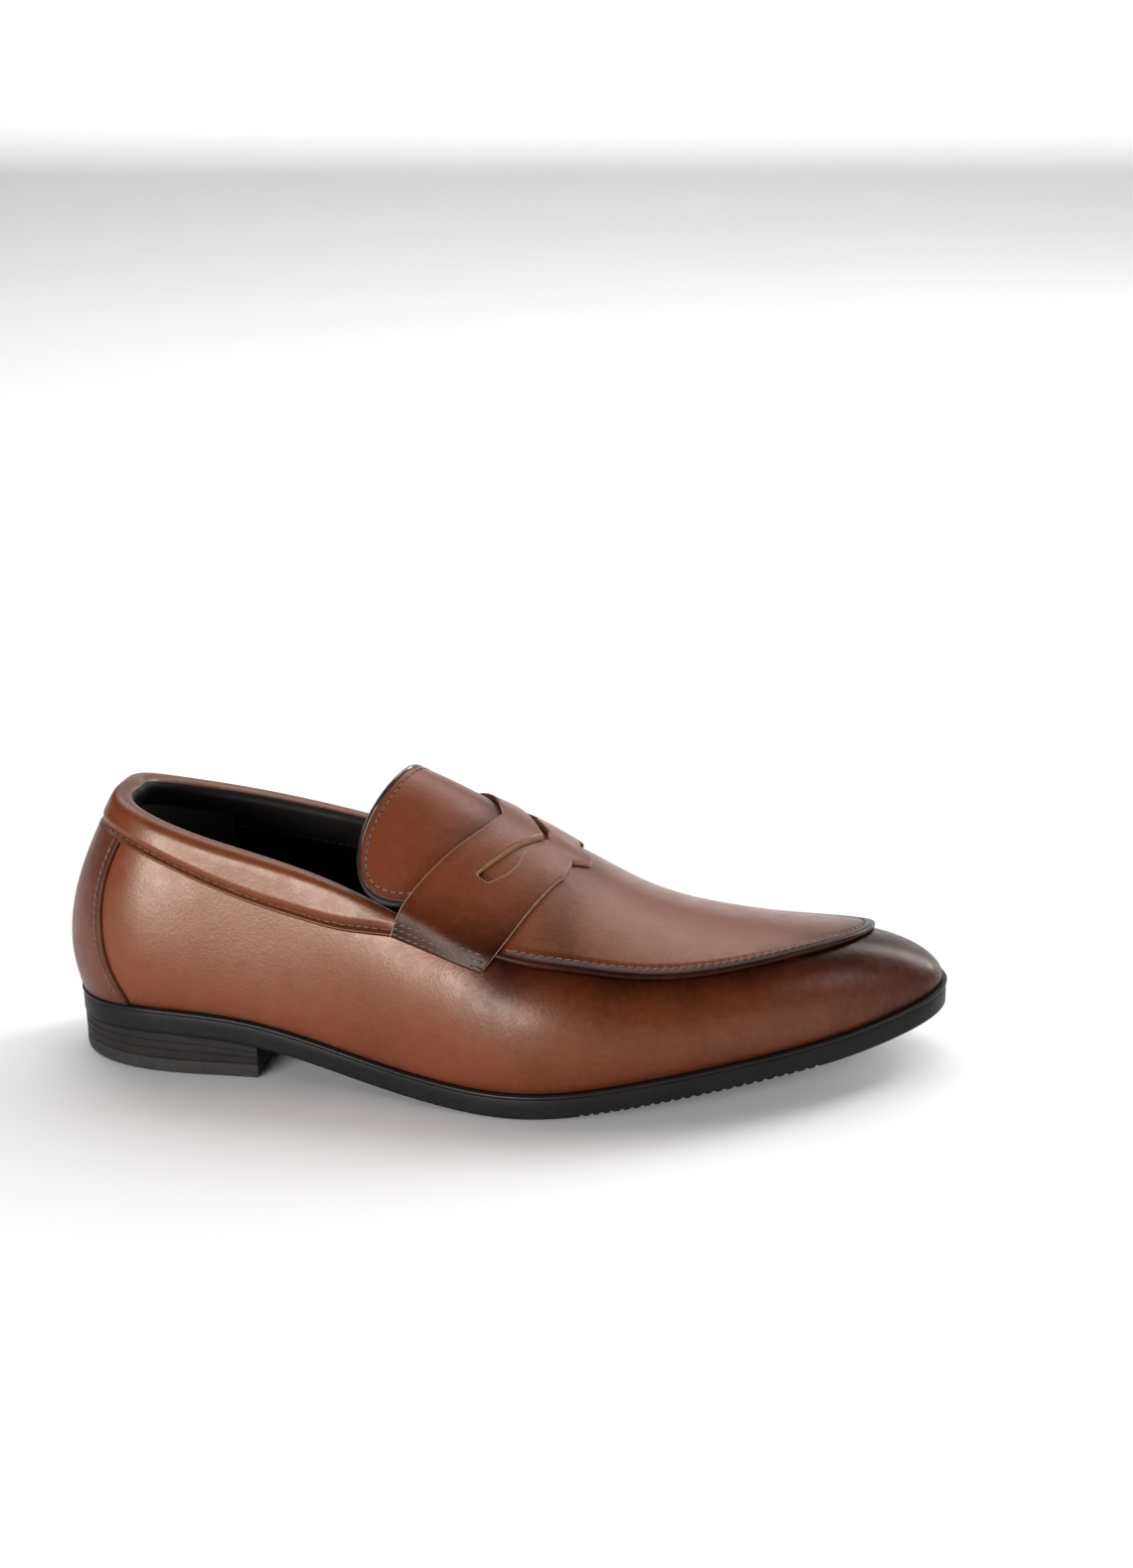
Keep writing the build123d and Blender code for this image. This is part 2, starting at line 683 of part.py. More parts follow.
BINDING = 1.0
with BuildPart() as tongue:
    loft(sections=tongue_layer(0.1, PLUG))
    extrude(tongue_outline(BINDING), amount=60, both=True, mode=Mode.INTERSECT)
    extrude(behind_strap(0.5), amount=TALL, mode=Mode.INTERSECT)

with BuildPart() as tongue_lining:
    loft(sections=tongue_layer(-0.2 - LINING, 0.0))
    extrude(tongue_outline(BINDING), amount=60, both=True, mode=Mode.INTERSECT)
    extrude(behind_strap(0.5), amount=TALL, mode=Mode.INTERSECT)

with BuildPart() as tongue_binding:
    loft(sections=tongue_layer(-0.2 - LINING, PLUG + 0.2))
    extrude(tongue_outline(0), amount=60, both=True, mode=Mode.INTERSECT)
    extrude(tongue_outline(BINDING - 0.05), amount=60, both=True, mode=Mode.SUBTRACT)
    extrude(behind_strap(0.5), amount=TALL, mode=Mode.INTERSECT)

# ---------------------------------------------------------------- penny strap
HUB = (1.6, 40.0)         # y and z of the axis that the strap's sections fan out from
FAN = np.array([0, 12, 26, 41, 57, 70, 84])
FAN_REAR = np.array([0.5, -3.5, -11.2, -19.3, -26.4, -30.7, -35.0])
FAN_FRONT = np.array([32.0, 30.5, 24.2, 18.9, 13.3, 7.7, -1.5])
STRAP_HEM = [(-33.5, 58.3), (4.0, 49.2)]  # side view of the strap's lower edge
STRAP_LIFT = 0.4


def upper_slice(x):
    """Outline across the upper at x that the strap wraps: lateral wall, plug, medial wall."""
    heights = np.linspace(0.3, 0.88, 12)
    walls = []
    for u in (lateral(x), medial(x)):
        walls.append(np.array([wall_point(u, v, -COLLAR_LIP - 0.3)[1:] for v in heights]))
    across = np.linspace(wall_top(lateral(x))[1] - 1.6, wall_top(medial(x))[1] + 1.6, 33)
    crown = np.stack([across, sheet(x, across, PLUG + STRAP_LIFT)], -1)
    return np.concatenate([walls[0], crown, walls[1][::-1]])


def strap_section(angle):
    """Slice of the strap in the plane at angle from upright about the hub."""
    turn = abs(angle)
    along = np.linspace(np.interp(turn, FAN, FAN_REAR), np.interp(turn, FAN, FAN_FRONT), 7)
    under = []
    for x in along:
        y, z = upper_slice(x).T
        around = np.degrees(np.arctan2(y - HUB[0], z - HUB[1]))
        under.append(float(np.interp(angle, around, np.hypot(y - HUB[0], z - HUB[1]))))
    low = [(float(x), r) for x, r in zip(along, under)]
    high = [(x, r + STRAP) for x, r in low]
    lean = np.radians(angle)
    plane = Plane(origin=(0, *HUB), x_dir=(1, 0, 0), z_dir=(0, -np.cos(lean), np.sin(lean)))
    with BuildSketch(plane) as section:
        with BuildLine():
            Spline(*low)
            Spline(*high)
            Line(low[0], high[0])
            Line(low[-1], high[-1])
        make_face()
    return section.sketch


# half of each outline, from the middle of the strap outwards: x, and distance from the middle
SLOT_REAR = [(14.2, 0.0), (7.0, 11.0), (-3.2, 25.2)]
SLOT_FRONT = [(17.2, 0.0), (15.2, 2.6), (15.4, 4.8), (12.8, 8.0), (10.0, 11.6), (8.8, 18.0), (5.6, 22.8), (0.6, 26.2)]
LIP_FRONT = [(30.6, 0.0), (30.2, 2.4), (26.6, 5.0), (24.8, 6.6), (25.0, 9.4), (23.6, 15.0)]


def mirrored(half):
    """Whole outline from its outer half: lateral end to medial end."""
    outer = [(x, STRAP_MID_Y - y) for x, y in reversed(half)]
    return outer + [(x, STRAP_MID_Y + y) for x, y in half[1:]]


with BuildPart() as strap:
    loft(sections=[strap_section(angle) for angle in np.linspace(-84, 84, 25)])
    with BuildSketch(Plane.XY.offset(60)):
        with BuildLine():
            Polyline(*mirrored(SLOT_REAR), *reversed(mirrored(SLOT_FRONT)), close=True)
        make_face()
        with BuildLine():
            Polyline(*mirrored(LIP_FRONT), (45, STRAP_MID_Y + 15), (45, STRAP_MID_Y - 15), close=True)
        make_face()
    extrude(amount=TALL, mode=Mode.SUBTRACT)
    with BuildSketch(Plane.XZ):
        with BuildLine():
            Polyline(*STRAP_HEM, (REACH, 0), (-REACH, 0), close=True)
        make_face()
    extrude(amount=REACH, both=True, mode=Mode.SUBTRACT)


# ---------------------------------------------------------------- stitching
def stitch_planes(points, normals):
    """A plane for each stitch, at even steps along a seam on a surface."""
    points, normals = np.array(points), np.array(normals)
    run = np.concatenate([[0], np.cumsum(np.linalg.norm(np.diff(points, axis=0), axis=1))])
    planes = []
    for place in np.arange(STITCH_PITCH / 2, run[-1], STITCH_PITCH):
        here, ahead, up = (
            np.array([np.interp(at, run, values[:, k]) for k in range(3)])
            for at, values in ((place, points), (place + 0.5, points), (place, normals))
        )
        up = unit(up)
        origin = here + up * (STITCH[2] / 2 + 0.06)
        planes.append(Plane(origin=tuple(origin), x_dir=tuple(unit(ahead - here)), z_dir=tuple(up)))
    return planes


def wall_seam(path, depth):
    """Points and outward normals along a list of (u, v) on the wall."""
    points, normals = [], []
    for u, v in path:
        here = wall_point(u, v, depth)
        around = wall_point(u + 0.002, v, depth) - wall_point(u - 0.002, v, depth)
        up = wall_point(u, v + 0.01, depth) - wall_point(u, v - 0.01, depth)
        points.append(here)
        normals.append(unit(np.cross(around, up)))
    return points, normals


def sheet_seam(places, rise):
    """Points and normals along a list of (x, y) on the top sheet."""
    points, normals = [], []
    for x, y in places:
        slope_x = float(sheet(x + 0.5, y) - sheet(x - 0.5, y))
        slope_y = float(sheet(x, y + 0.5) - sheet(x, y - 0.5))
        points.append((x, y, float(sheet(x, y, rise))))
        normals.append(unit(np.array([-slope_x, -slope_y, 1.0])))
    return points, normals


COLLAR_STITCH_LIFT = 0.7  # clears the bulge of the collar between its sections
with BuildPart() as collar_stitching:
    stitched = shares(medial(STITCH_END_X) - 1, lateral(STITCH_END_X), 0.004)
    seam_path = [(u, float(collar_seam(u)) + 0.035) for u in stitched]
    with Locations(*stitch_planes(*wall_seam(seam_path, -COLLAR_LIP - COLLAR_STITCH_LIFT))):
        Box(*STITCH)


def counter_path(side):
    """(u, v) places 3 mm behind the counter panel's front edge, on one side."""
    path = []
    for v in np.linspace(0.06, 0.80, 20):
        share = side(-110) - (1 if side is medial else 0)
        for _ in range(20):
            x, _, z = wall_point(share, v)
            edge_x = np.interp(-z, [-height for _, height in COUNTER_EDGE], [place for place, _ in COUNTER_EDGE])
            share -= (x - edge_x + 3.0) * (0.0012 if side is lateral else -0.0012)
        path.append((share, v))
    return path


with BuildPart() as counter_stitching:
    for side in (lateral, medial):
        with Locations(*stitch_planes(*wall_seam(counter_path(side), -TRIM_LEATHER - 3 * GAP))):
            Box(*STITCH)

with BuildPart() as apron_stitching:
    rim = wall_top(np.linspace(lateral(14), medial(14), 81))[:, :2]
    along = unit(np.gradient(rim, axis=0))
    row = rim - 2.2 * np.stack([along[:, 1], -along[:, 0]], -1)
    with Locations(*stitch_planes(*sheet_seam(row, PLUG))):
        Box(*STITCH)


def tongue_place(along, aside):
    """Plan place where the tongue's surface lies over a point of its leaning plane."""
    low, high = -45.0, 25.0
    for _ in range(40):
        middle = (low + high) / 2
        point = TONGUE_PLANE.from_local_coords(Vector(along, aside, middle))
        if point.Z > sheet(point.X, point.Y, PLUG):
            high = middle
        else:
            low = middle
    return point.X, point.Y


def tongue_row(inset):
    """Plan places along the tongue's free edge, inset from it."""
    places = tongue_line(inset)
    run = np.concatenate([[0], np.cumsum(np.hypot(*np.diff(places, axis=0).T))])
    line = cubic(run, places)(np.linspace(0, run[-1], 61))
    return [tongue_place(float(x), float(y)) for x, y in line if x > -5]


with BuildPart() as tongue_stitching:
    with Locations(*stitch_planes(*sheet_seam(tongue_row(3.0), PLUG))):
        Box(*STITCH)

HEM_ROWS = (1.4, 3.4, 5.4)  # heights of the strap's three rows of stitching above its hem
STITCH_LIFT = 0.9         # clears the bulge of the strap between its sections


def hem_row(rise, side):
    """Points and outward normals along a row of stitching near the strap's lower edge."""
    points, normals = [], []
    for x in np.linspace(STRAP_HEM[0][0] + 5, STRAP_HEM[1][0] - 5, 9):
        slice_ = upper_slice(x)
        flank = slice_[slice_[:, 0] < HUB[0]] if side < 0 else slice_[slice_[:, 0] > HUB[0]][::-1]
        height = np.interp(x, *zip(*STRAP_HEM)) + rise
        y, y_above = (float(np.interp(z, flank[:, 1], flank[:, 0])) for z in (height, height + 1))
        normal = unit(np.array([0.0, side * 1.0, side * (y - y_above)]))
        points.append(np.array([x, y, height]) + normal * (STRAP + STITCH_LIFT))
        normals.append(normal)
    return points, normals


with BuildPart() as strap_stitching:
    for side in (-1, 1):
        for rise in HEM_ROWS:
            with Locations(*stitch_planes(*hem_row(rise, side))):
                Box(*STITCH)

# ---------------------------------------------------------------- hand the pieces over
CENTRE = Location((2.15, 0.3, 0.0))  # brings the middle of the whole shoe's box over the origin
PIECES = {
    "outsole": outsole,
    "sole_rand": rand,
    "heel_block": heel_block,
    "heel_top_piece": heel_top_piece,
    "heel_nails": heel_nails,
    "shank": shank,
    "bottom_filler": bottom_filler,
    "insole_board": insole_board,
    "heel_pad": heel_pad,
    "sock_liner": sock_liner,
    "upper_wall": upper_wall,
    "counter_panel": counter_panel,
    "heel_stiffener": heel_stiffener,
    "toe_puff": toe_puff,
    "collar_band": collar_band,
    "collar_foam": collar_foam,
    "heel_lining": heel_lining,
    "quarter_lining_lateral": quarter_lining_lateral,
    "quarter_lining_medial": quarter_lining_medial,
    "vamp_lining": vamp_lining,
    "apron": apron,
    "apron_lining": apron_lining,
    "tongue": tongue,
    "tongue_lining": tongue_lining,
    "tongue_binding": tongue_binding,
    "strap": strap,
    "collar_stitching": collar_stitching,
    "counter_stitching": counter_stitching,
    "apron_stitching": apron_stitching,
    "tongue_stitching": tongue_stitching,
    "strap_stitching": strap_stitching,
}

os.makedirs("parts", exist_ok=True)
for name, piece in PIECES.items():
    piece.part = piece.part.moved(CENTRE)
    piece.part.label = name
    export_step(piece.part, f"parts/{name}.step")
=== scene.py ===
"""Penny loafer: leather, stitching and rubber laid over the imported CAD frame.

The shape functions work in millimetres in the last's own frame, with +X to the toe, +Y to the
inner side and +Z up; mesh_object() turns their points into metres in the row frame.
"""
import math

import bmesh
import bpy
import numpy as np
from mathutils import Matrix, Vector


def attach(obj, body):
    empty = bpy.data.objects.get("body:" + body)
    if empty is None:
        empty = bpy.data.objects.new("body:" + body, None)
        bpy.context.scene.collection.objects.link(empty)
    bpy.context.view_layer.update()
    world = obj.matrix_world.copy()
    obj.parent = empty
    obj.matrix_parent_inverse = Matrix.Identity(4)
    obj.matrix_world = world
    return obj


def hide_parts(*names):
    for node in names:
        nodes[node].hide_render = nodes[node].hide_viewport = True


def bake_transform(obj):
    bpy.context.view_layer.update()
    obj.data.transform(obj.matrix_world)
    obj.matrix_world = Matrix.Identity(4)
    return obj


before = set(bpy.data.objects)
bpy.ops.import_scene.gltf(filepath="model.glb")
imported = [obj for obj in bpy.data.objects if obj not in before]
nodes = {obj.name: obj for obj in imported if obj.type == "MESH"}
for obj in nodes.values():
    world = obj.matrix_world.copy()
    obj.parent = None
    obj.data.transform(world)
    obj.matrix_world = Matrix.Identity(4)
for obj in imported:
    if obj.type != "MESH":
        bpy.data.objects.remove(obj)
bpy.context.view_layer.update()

# ---------------------------------------------------------------- sizes shared with the CAD
CENTRE = np.array([2.15, 0.3, 0.0])  # the last's origin in the row frame
HEEL_X, TOE_X = -150.0, 150.0
BREAST_X = -79.0
SOLE_THICK = 8.6
RAND_THICK = 1.5
SHELF = 1.8
TOP_PIECE = 5.0
TREAD_START, TREAD_END = 32.0, 110.0
TREAD_PITCH = 3.2
TREAD_DEPTH = 0.9
LEATHER = 1.2
STIFFENER = 0.7
LINING = 0.8
COLLAR_WIDTH = 6.5
COLLAR_LIP = 0.5
PLUG = 1.9
STRAP = 1.6
STRAP_LIFT = 0.4
TRIM = 1.0  # thickness of the counter panel
LEAF_START = 0.95
EDGE_LENGTH = 780  # millimetres round the sole's edge, the girth that shares are taken of

# Round the sole's edge from the back of the heel along the outer side to the toe and back along
# the inner side: x and y, then how far in and how high the wall's top edge is, how far the wall
# bellies out, and the slope (degrees) and the length of its shoulder.
LAST = np.array([
    (-150.0, 1.6, 17.5, 91.0, 6.5, 59, 35),
    (-142.0, -19.4, 13.0, 90.5, 5.5, 62, 32),
    (-120.0, -30.9, 6.5, 86.5, 4.0, 72, 28),
    (-88.0, -32.6, 3.5, 77.5, 2.5, 82, 22),
    (-51.0, -36.5, 4.0, 68.5, 2.0, 75, 20),
    (-16.0, -46.7, 6.0, 57.5, 2.5, 60, 18),
    (13.0, -52.7, 7.0, 52.5, 3.0, 48, 18),
    (39.0, -49.7, 7.0, 49.0, 3.0, 42, 17),
    (72.0, -39.9, 6.5, 46.5, 3.0, 38, 14),
    (105.6, -23.9, 8.0, 46.5, 2.5, 30, 12),
    (132.0, -5.2, 14.5, 47.5, 2.0, 22, 12),
    (147.5, 19.9, 24.5, 47.5, 1.5, 16, 15),
    (142.0, 36.6, 22.5, 46.5, 1.5, 18, 15),
    (122.0, 46.9, 18.0, 46.0, 2.0, 24, 14),
    (94.0, 51.9, 14.5, 45.5, 2.5, 30, 14),
    (62.0, 51.8, 11.5, 46.0, 3.0, 37, 15),
    (30.0, 45.6, 7.0, 50.0, 3.0, 50, 17),
    (-5.0, 37.6, 4.0, 59.0, 2.0, 62, 20),
    (-40.0, 31.1, 3.0, 70.5, 2.0, 76, 22),
    (-80.0, 32.6, 3.0, 78.0, 2.5, 82, 24),
    (-117.0, 32.6, 6.0, 84.0, 4.0, 72, 28),
    (-141.0, 21.6, 12.5, 89.5, 5.5, 62, 32),
])


def cubic(knots, values, periodic=False):
    """A C2 cubic spline through values at knots, as a function."""
    knots = np.asarray(knots, float)
    values = np.asarray(values, float)
    steps = np.diff(knots)
    spans = len(steps)
    size = spans if periodic else spans + 1
    matrix = np.eye(size)
    right = np.zeros((size,) + values.shape[1:])
    for i in range(size):
        if not periodic and i in (0, spans):
            continue
        before, after = steps[i - 1], steps[i % spans]
        behind = values[spans - 1] if i == 0 else values[i - 1]
        matrix[i] = 0
        matrix[i, (i - 1) % size] += before
        matrix[i, i] += 2 * (before + after)
        matrix[i, (i + 1) % size] += after
        right[i] = 6 * ((values[i + 1] - values[i]) / after - (values[i] - behind) / before)
    curvature = np.linalg.solve(matrix, right)
    if periodic:
        curvature = np.concatenate([curvature, curvature[:1]])

    def evaluate(x):
        x = np.asarray(x, float)
        if periodic:
            x = (x - knots[0]) % (knots[-1] - knots[0]) + knots[0]
        i = np.clip(np.searchsorted(knots, x, side="right") - 1, 0, spans - 1)
        step = steps[i]
        a = (knots[i + 1] - x) / step
        b = (x - knots[i]) / step
        if values.ndim == 2:
            a, b, step = a[..., None], b[..., None], step[..., None]
        bend = (a**3 - a) * curvature[i] + (b**3 - b) * curvature[i + 1]
        return a * values[i] + b * values[i + 1] + bend * step**2 / 6

    return evaluate


def smooth(x, start, end):
    """0 before start, 1 after end, with a smooth ramp between them."""
    t = np.clip((np.asarray(x, float) - start) / (end - start), 0, 1)
    return t * t * (3 - 2 * t)


def hump(x, middle, width):
    """A soft bump of height 1 at middle."""
    return np.exp(-(((x - middle) / width) ** 2))


def unit(vector):
    return vector / np.maximum(np.linalg.norm(vector, axis=-1, keepdims=True), 1e-12)


CLOSED = np.concatenate([LAST, LAST[:1]])
GIRTH = np.concatenate([[0], np.cumsum(np.hypot(*np.diff(CLOSED[:, :2], axis=0).T))])
last_row = cubic(GIRTH / GIRTH[-1], CLOSED, periodic=True)
sole_top = cubic(
    [-150, -115, -80, -45, -10, 10, 30, 55, 90, 120, 150],
    [21.3, 23.0, 20.0, 12.8, 9.0, 8.6, 9.6, 12.7, 17.3, 21.3, 27.2],
)
SPINE_START, SPINE_END, SPINE_EASE = -114.0, 85.0, 14.0
spine_y = cubic([-114, -30, 30, 85], [1.6, -0.4, -0.4, 8.6])
ridge_height = cubic(
    [-50, -32, -17, 0, 13, 30, 42, 57, 75, 94, 110, 122, 145],
    [107, 99.3, 92.4, 83.2, 76.2, 67.6, 61.6, 56.2, 52.6, 50.2, 48.6, 47.0, 42],
)
side_slope = cubic([-50, -32, -17, 0, 30, 70, 97, 145], [1.2, 1.08, 0.96, 0.82, 0.69, 0.64, 0.62, 0.6])
ridge_round = cubic([-50, -32, -17, 0, 30, 70, 97, 145], [12, 12, 13, 16, 24, 32, 34, 34])
ridge_y = cubic([-50, 0, 20, 42, 60, 97, 122, 145], [4.1, 4.6, 2.5, -1.0, -2.0, -1.0, 2.0, 6.0])


def sheet_base(x, y):
    """Height of the top sheet that the tongue, the strap and the apron lie on."""
    round_ = ridge_round(x)
    return ridge_height(x) - side_slope(x) * (np.sqrt((y - ridge_y(x)) ** 2 + round_**2) - round_)


def sheet_normal(x, y):
    slope_x = sheet_base(x + 0.5, y) - sheet_base(x - 0.5, y)
    slope_y = sheet_base(x, y + 0.5) - sheet_base(x, y - 0.5)
    return unit(np.stack([-slope_x, -slope_y, np.ones_like(slope_x)], -1))


def sheet_point(plan, rise=0.0):
    """Points of the top sheet over plan places, moved rise along its normal."""
    x, y = plan[..., 0], plan[..., 1]
    base = np.stack([x, y, sheet_base(x, y)], -1)
    return base + np.asarray(rise, float)[..., None] * sheet_normal(x, y)


def sheet(x, y, rise=0.0):
    """Height of the surface that lies rise above the top sheet."""
    return sheet_base(x, y) + rise / sheet_normal(x, y)[..., 2]


def sole_edge(u, inset=0.0):
    """Point of the sole's edge at the share u of its girth, moved in by inset."""
    along = unit(last_row(u + 1e-4)[..., :2] - last_row(u - 1e-4)[..., :2])
    inward = np.stack([-along[..., 1], along[..., 0]], -1)
    return last_row(u)[..., :2] + inset * inward


def feather(u):
    """Point of the line where the wall meets the sole."""
    return sole_edge(u, SHELF)


def ease_between(x, start, end, ease):
    """x, held softly between start and end."""
    return start + ease * (np.logaddexp(0, (x - start) / ease) - np.logaddexp(0, (x - end) / ease))


def section_inward(u):
    """Horizontal direction of the wall's section plane at u, towards the spine."""
    foot = feather(u)
    centre = ease_between(foot[..., 0], SPINE_START, SPINE_END, SPINE_EASE)
    spine = np.stack([centre, spine_y(np.clip(centre, SPINE_START, SPINE_END))], -1)
    return unit(spine - foot)


def wall_top(u):
    """Plan place and height of the wall's top edge."""
    row = last_row(u)
    place = feather(u) + row[..., 2:3] * section_inward(u)
    x, y = place[..., 0], place[..., 1]
    under_plug = smooth(x, -20, 5)
    height = row[..., 3] * (1 - under_plug) + (sheet(x, y) - 0.3) * under_plug
    return np.concatenate([place, height[..., None]], -1)


def profile(u, depth):
    """Bezier points (inward, up) of the wall's profile at each u, depth below the outer face."""
    row = last_row(u)
    foot = sole_top(feather(u)[..., 0]) + 0.25
    top = wall_top(u)[..., 2]
    angle = np.radians(row[..., 5])
    end = np.stack([row[..., 2], top], -1)
    points = np.stack([
        np.stack([0 * foot, foot], -1),
        np.stack([-row[..., 4], foot + 0.28 * (top - foot)], -1),
        end - row[..., 6:7] * np.stack([np.cos(angle), np.sin(angle)], -1),
        end,
    ], -2)
    legs = unit(np.diff(points, axis=-2))
    normals = np.stack([legs[..., 1], -legs[..., 0]], -1)
    before = np.concatenate([normals[..., :1, :], normals], -2)
    after = np.concatenate([normals, normals[..., -1:, :]], -2)
    miters = (before + after) / (1 + np.sum(before * after, -1, keepdims=True))
    return points + np.broadcast_to(depth, points.shape[:-1])[..., None] * miters


def bezier(points, t):
    """Points of cubic Bezier curves (n, 4, 2) at t (n, m) or (m,)."""
    t = np.broadcast_to(t, (len(points), np.shape(t)[-1]))[..., None]
    a, b, c, d = (points[:, None, k] for k in range(4))
    return (1 - t) ** 3 * a + 3 * t * (1 - t) ** 2 * b + 3 * t * t * (1 - t) * c + t**3 * d


def out_of_section(u, flat):
    """Points in space of (inward, up) places in the section planes at u."""
    plan = feather(u)[:, None] + flat[..., :1] * section_inward(u)[:, None]
    return np.concatenate([plan, flat[..., 1:]], -1)


def wall(u, v, depth=0.0, rise=0.0):
    """Grid of points depth below the wall's face and moved out by rise: u (n,), v (m,) or (n, m)."""
    depth = np.asarray(depth, float)
    flat = bezier(profile(u, depth), v)
    further = bezier(profile(u, depth - 1), v)
    return out_of_section(u, flat + np.asarray(rise, float)[..., None] * (further - flat))


ROUND_THE_SOLE = np.linspace(0, 1, 4001)
FEATHER_X = feather(ROUND_THE_SOLE)[:, 0]
TOE = ROUND_THE_SOLE[np.argmax(FEATHER_X)]


def lateral(x):
    """Share of the girth where the outer feather line passes x."""
    side = ROUND_THE_SOLE <= TOE
    return np.interp(x, FEATHER_X[side], ROUND_THE_SOLE[side])


def medial(x):
    """Share of the girth where the inner feather line passes x."""
    side = ROUND_THE_SOLE >= TOE
    return np.interp(-np.asarray(x, float), -FEATHER_X[side], ROUND_THE_SOLE[side])


seam_share = cubic(
    [-150, -126, -105, -79, -64, -48, -32, -22],
    [0.865, 0.885, 0.855, 0.79, 0.78, 0.80, 0.88, 0.93],
)


def collar_seam(u):
    """Share of the profile's height where the collar band meets the quarter."""
    x = feather(u)[..., 0]
    return seam_share(np.clip(x, -150, -22)) + 0.07 * smooth(x, -24, -6)


def inside_depth(u):
    """Depths of the lining's inner face, which the padding pushes in towards the top."""
    x = feather(u)[..., 0]
    width = COLLAR_WIDTH - 2.5 * smooth(x, -90, -25)
    return np.stack([3.4 + 0 * width, 3.4 + 0 * width, 0.5 * (3.4 + width), width], -1)


# ---------------------------------------------------------------- meshes
def run_length(points):
    return np.concatenate([[0], np.cumsum(np.linalg.norm(np.diff(points, axis=0), axis=1))])


def mesh_object(name, points, faces, materials, face_slots=None, tone=None, weld=0.0, sharp=40):
    """Object from points in millimetres; tone is how dark the leather is painted at each point, 0 to 1, both
    burnish and painted shade.
    """
    data = bpy.data.meshes.new(name)
    data.from_pydata(((np.asarray(points) + CENTRE) * 0.001).tolist(), [], faces)
    for material in materials:
        data.materials.append(material)
    if face_slots is not None:
        data.polygons.foreach_set("material_index", np.asarray(face_slots, np.int32))
    attribute = data.attributes.new("tone", "FLOAT", "POINT")
    values = np.zeros(len(points)) if tone is None else np.clip(np.ravel(tone), 0, 1)
    attribute.data.foreach_set("value", values.astype(np.float32))
    shape = bmesh.new()
    shape.from_mesh(data)
    if weld:
        bmesh.ops.remove_doubles(shape, verts=shape.verts, dist=weld * 0.001)
        bmesh.ops.dissolve_degenerate(shape, edges=shape.edges, dist=weld * 0.0005)
    bmesh.ops.recalc_face_normals(shape, faces=shape.faces)
    shape.to_mesh(data)
    shape.free()
    data.polygons.foreach_set("use_smooth", np.ones(len(data.polygons), bool))
    data.set_sharp_from_angle(angle=math.radians(sharp))
    obj = bpy.data.objects.new(name, data)
    bpy.context.scene.collection.objects.link(obj)
    return obj


def grid_faces(index, closed=False):
    """Quads between neighbouring rows and columns of an index grid."""
    following = np.roll(index, -1, 0)
    rows = slice(None) if closed else slice(None, -1)
    a, b = index[rows], following[rows]
    return np.stack([a[:, :-1], b[:, :-1], b[:, 1:], a[:, 1:]], -1).reshape(-1, 4)


def shell(name, outer, inner, materials, tone=None, weld=0.0, joined=False):
    """Closed layer between two grids of points.

    When joined, the last column meets itself and is welded, so it gets no edge face.
    """
    n, m = outer.shape[:2]
    top = np.arange(n * m).reshape(n, m)
    under = top + n * m
    edges = [(under[:, 0], top[:, 0]), (top[:, -1], under[:, -1]), (top[0], under[0]), (under[-1], top[-1])]
    if joined:
        del edges[1]
    faces = [grid_faces(top), grid_faces(under)[:, ::-1]]
    faces += [grid_faces(np.stack(edge, 1)) for edge in edges]
    tones = None if tone is None else np.concatenate([np.ravel(tone), np.ravel(tone)])
    points = np.concatenate([outer.reshape(-1, 3), inner.reshape(-1, 3)])
    return mesh_object(name, points, np.concatenate(faces).tolist(), materials, tone=tones, weld=weld)


def tube(name, sections, materials, closed=False):
    """Bar with the same closed outline of points in every section (n, m, 3)."""
    n, m = sections.shape[:2]
    index = np.arange(n * m).reshape(n, m)
    faces = grid_faces(np.concatenate([index, index[:, :1]], 1), closed).tolist()
    if not closed:
        faces += [index[0].tolist(), index[-1].tolist()[::-1]]
    return mesh_object(name, sections.reshape(-1, 3), faces, materials)


def finish_of(obj, slot, *replaced):
    if replaced:
        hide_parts(*replaced)


def stands_for(obj, slot, *replaced):
    """The piece rides the shoe and takes the place of the replaced nodes."""
    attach(obj, "shoe")
    finish_of(obj, slot, *replaced)


def outward_normals(outer, inner):
    """Unit normals of the grid outer, pointing away from the grid inner."""
    normals = unit(np.cross(np.gradient(outer, axis=0), np.gradient(outer, axis=1)))
    return normals * np.sign(np.sum(normals * (outer - inner), -1, keepdims=True))


STITCH_RING, STITCH_STEPS = 8, 7  # points round a stitch, and rings along it
STITCH_SHARE = 0.74  # of the pitch
STITCH_WIDTH, STITCH_HEIGHT = 0.62, 0.36


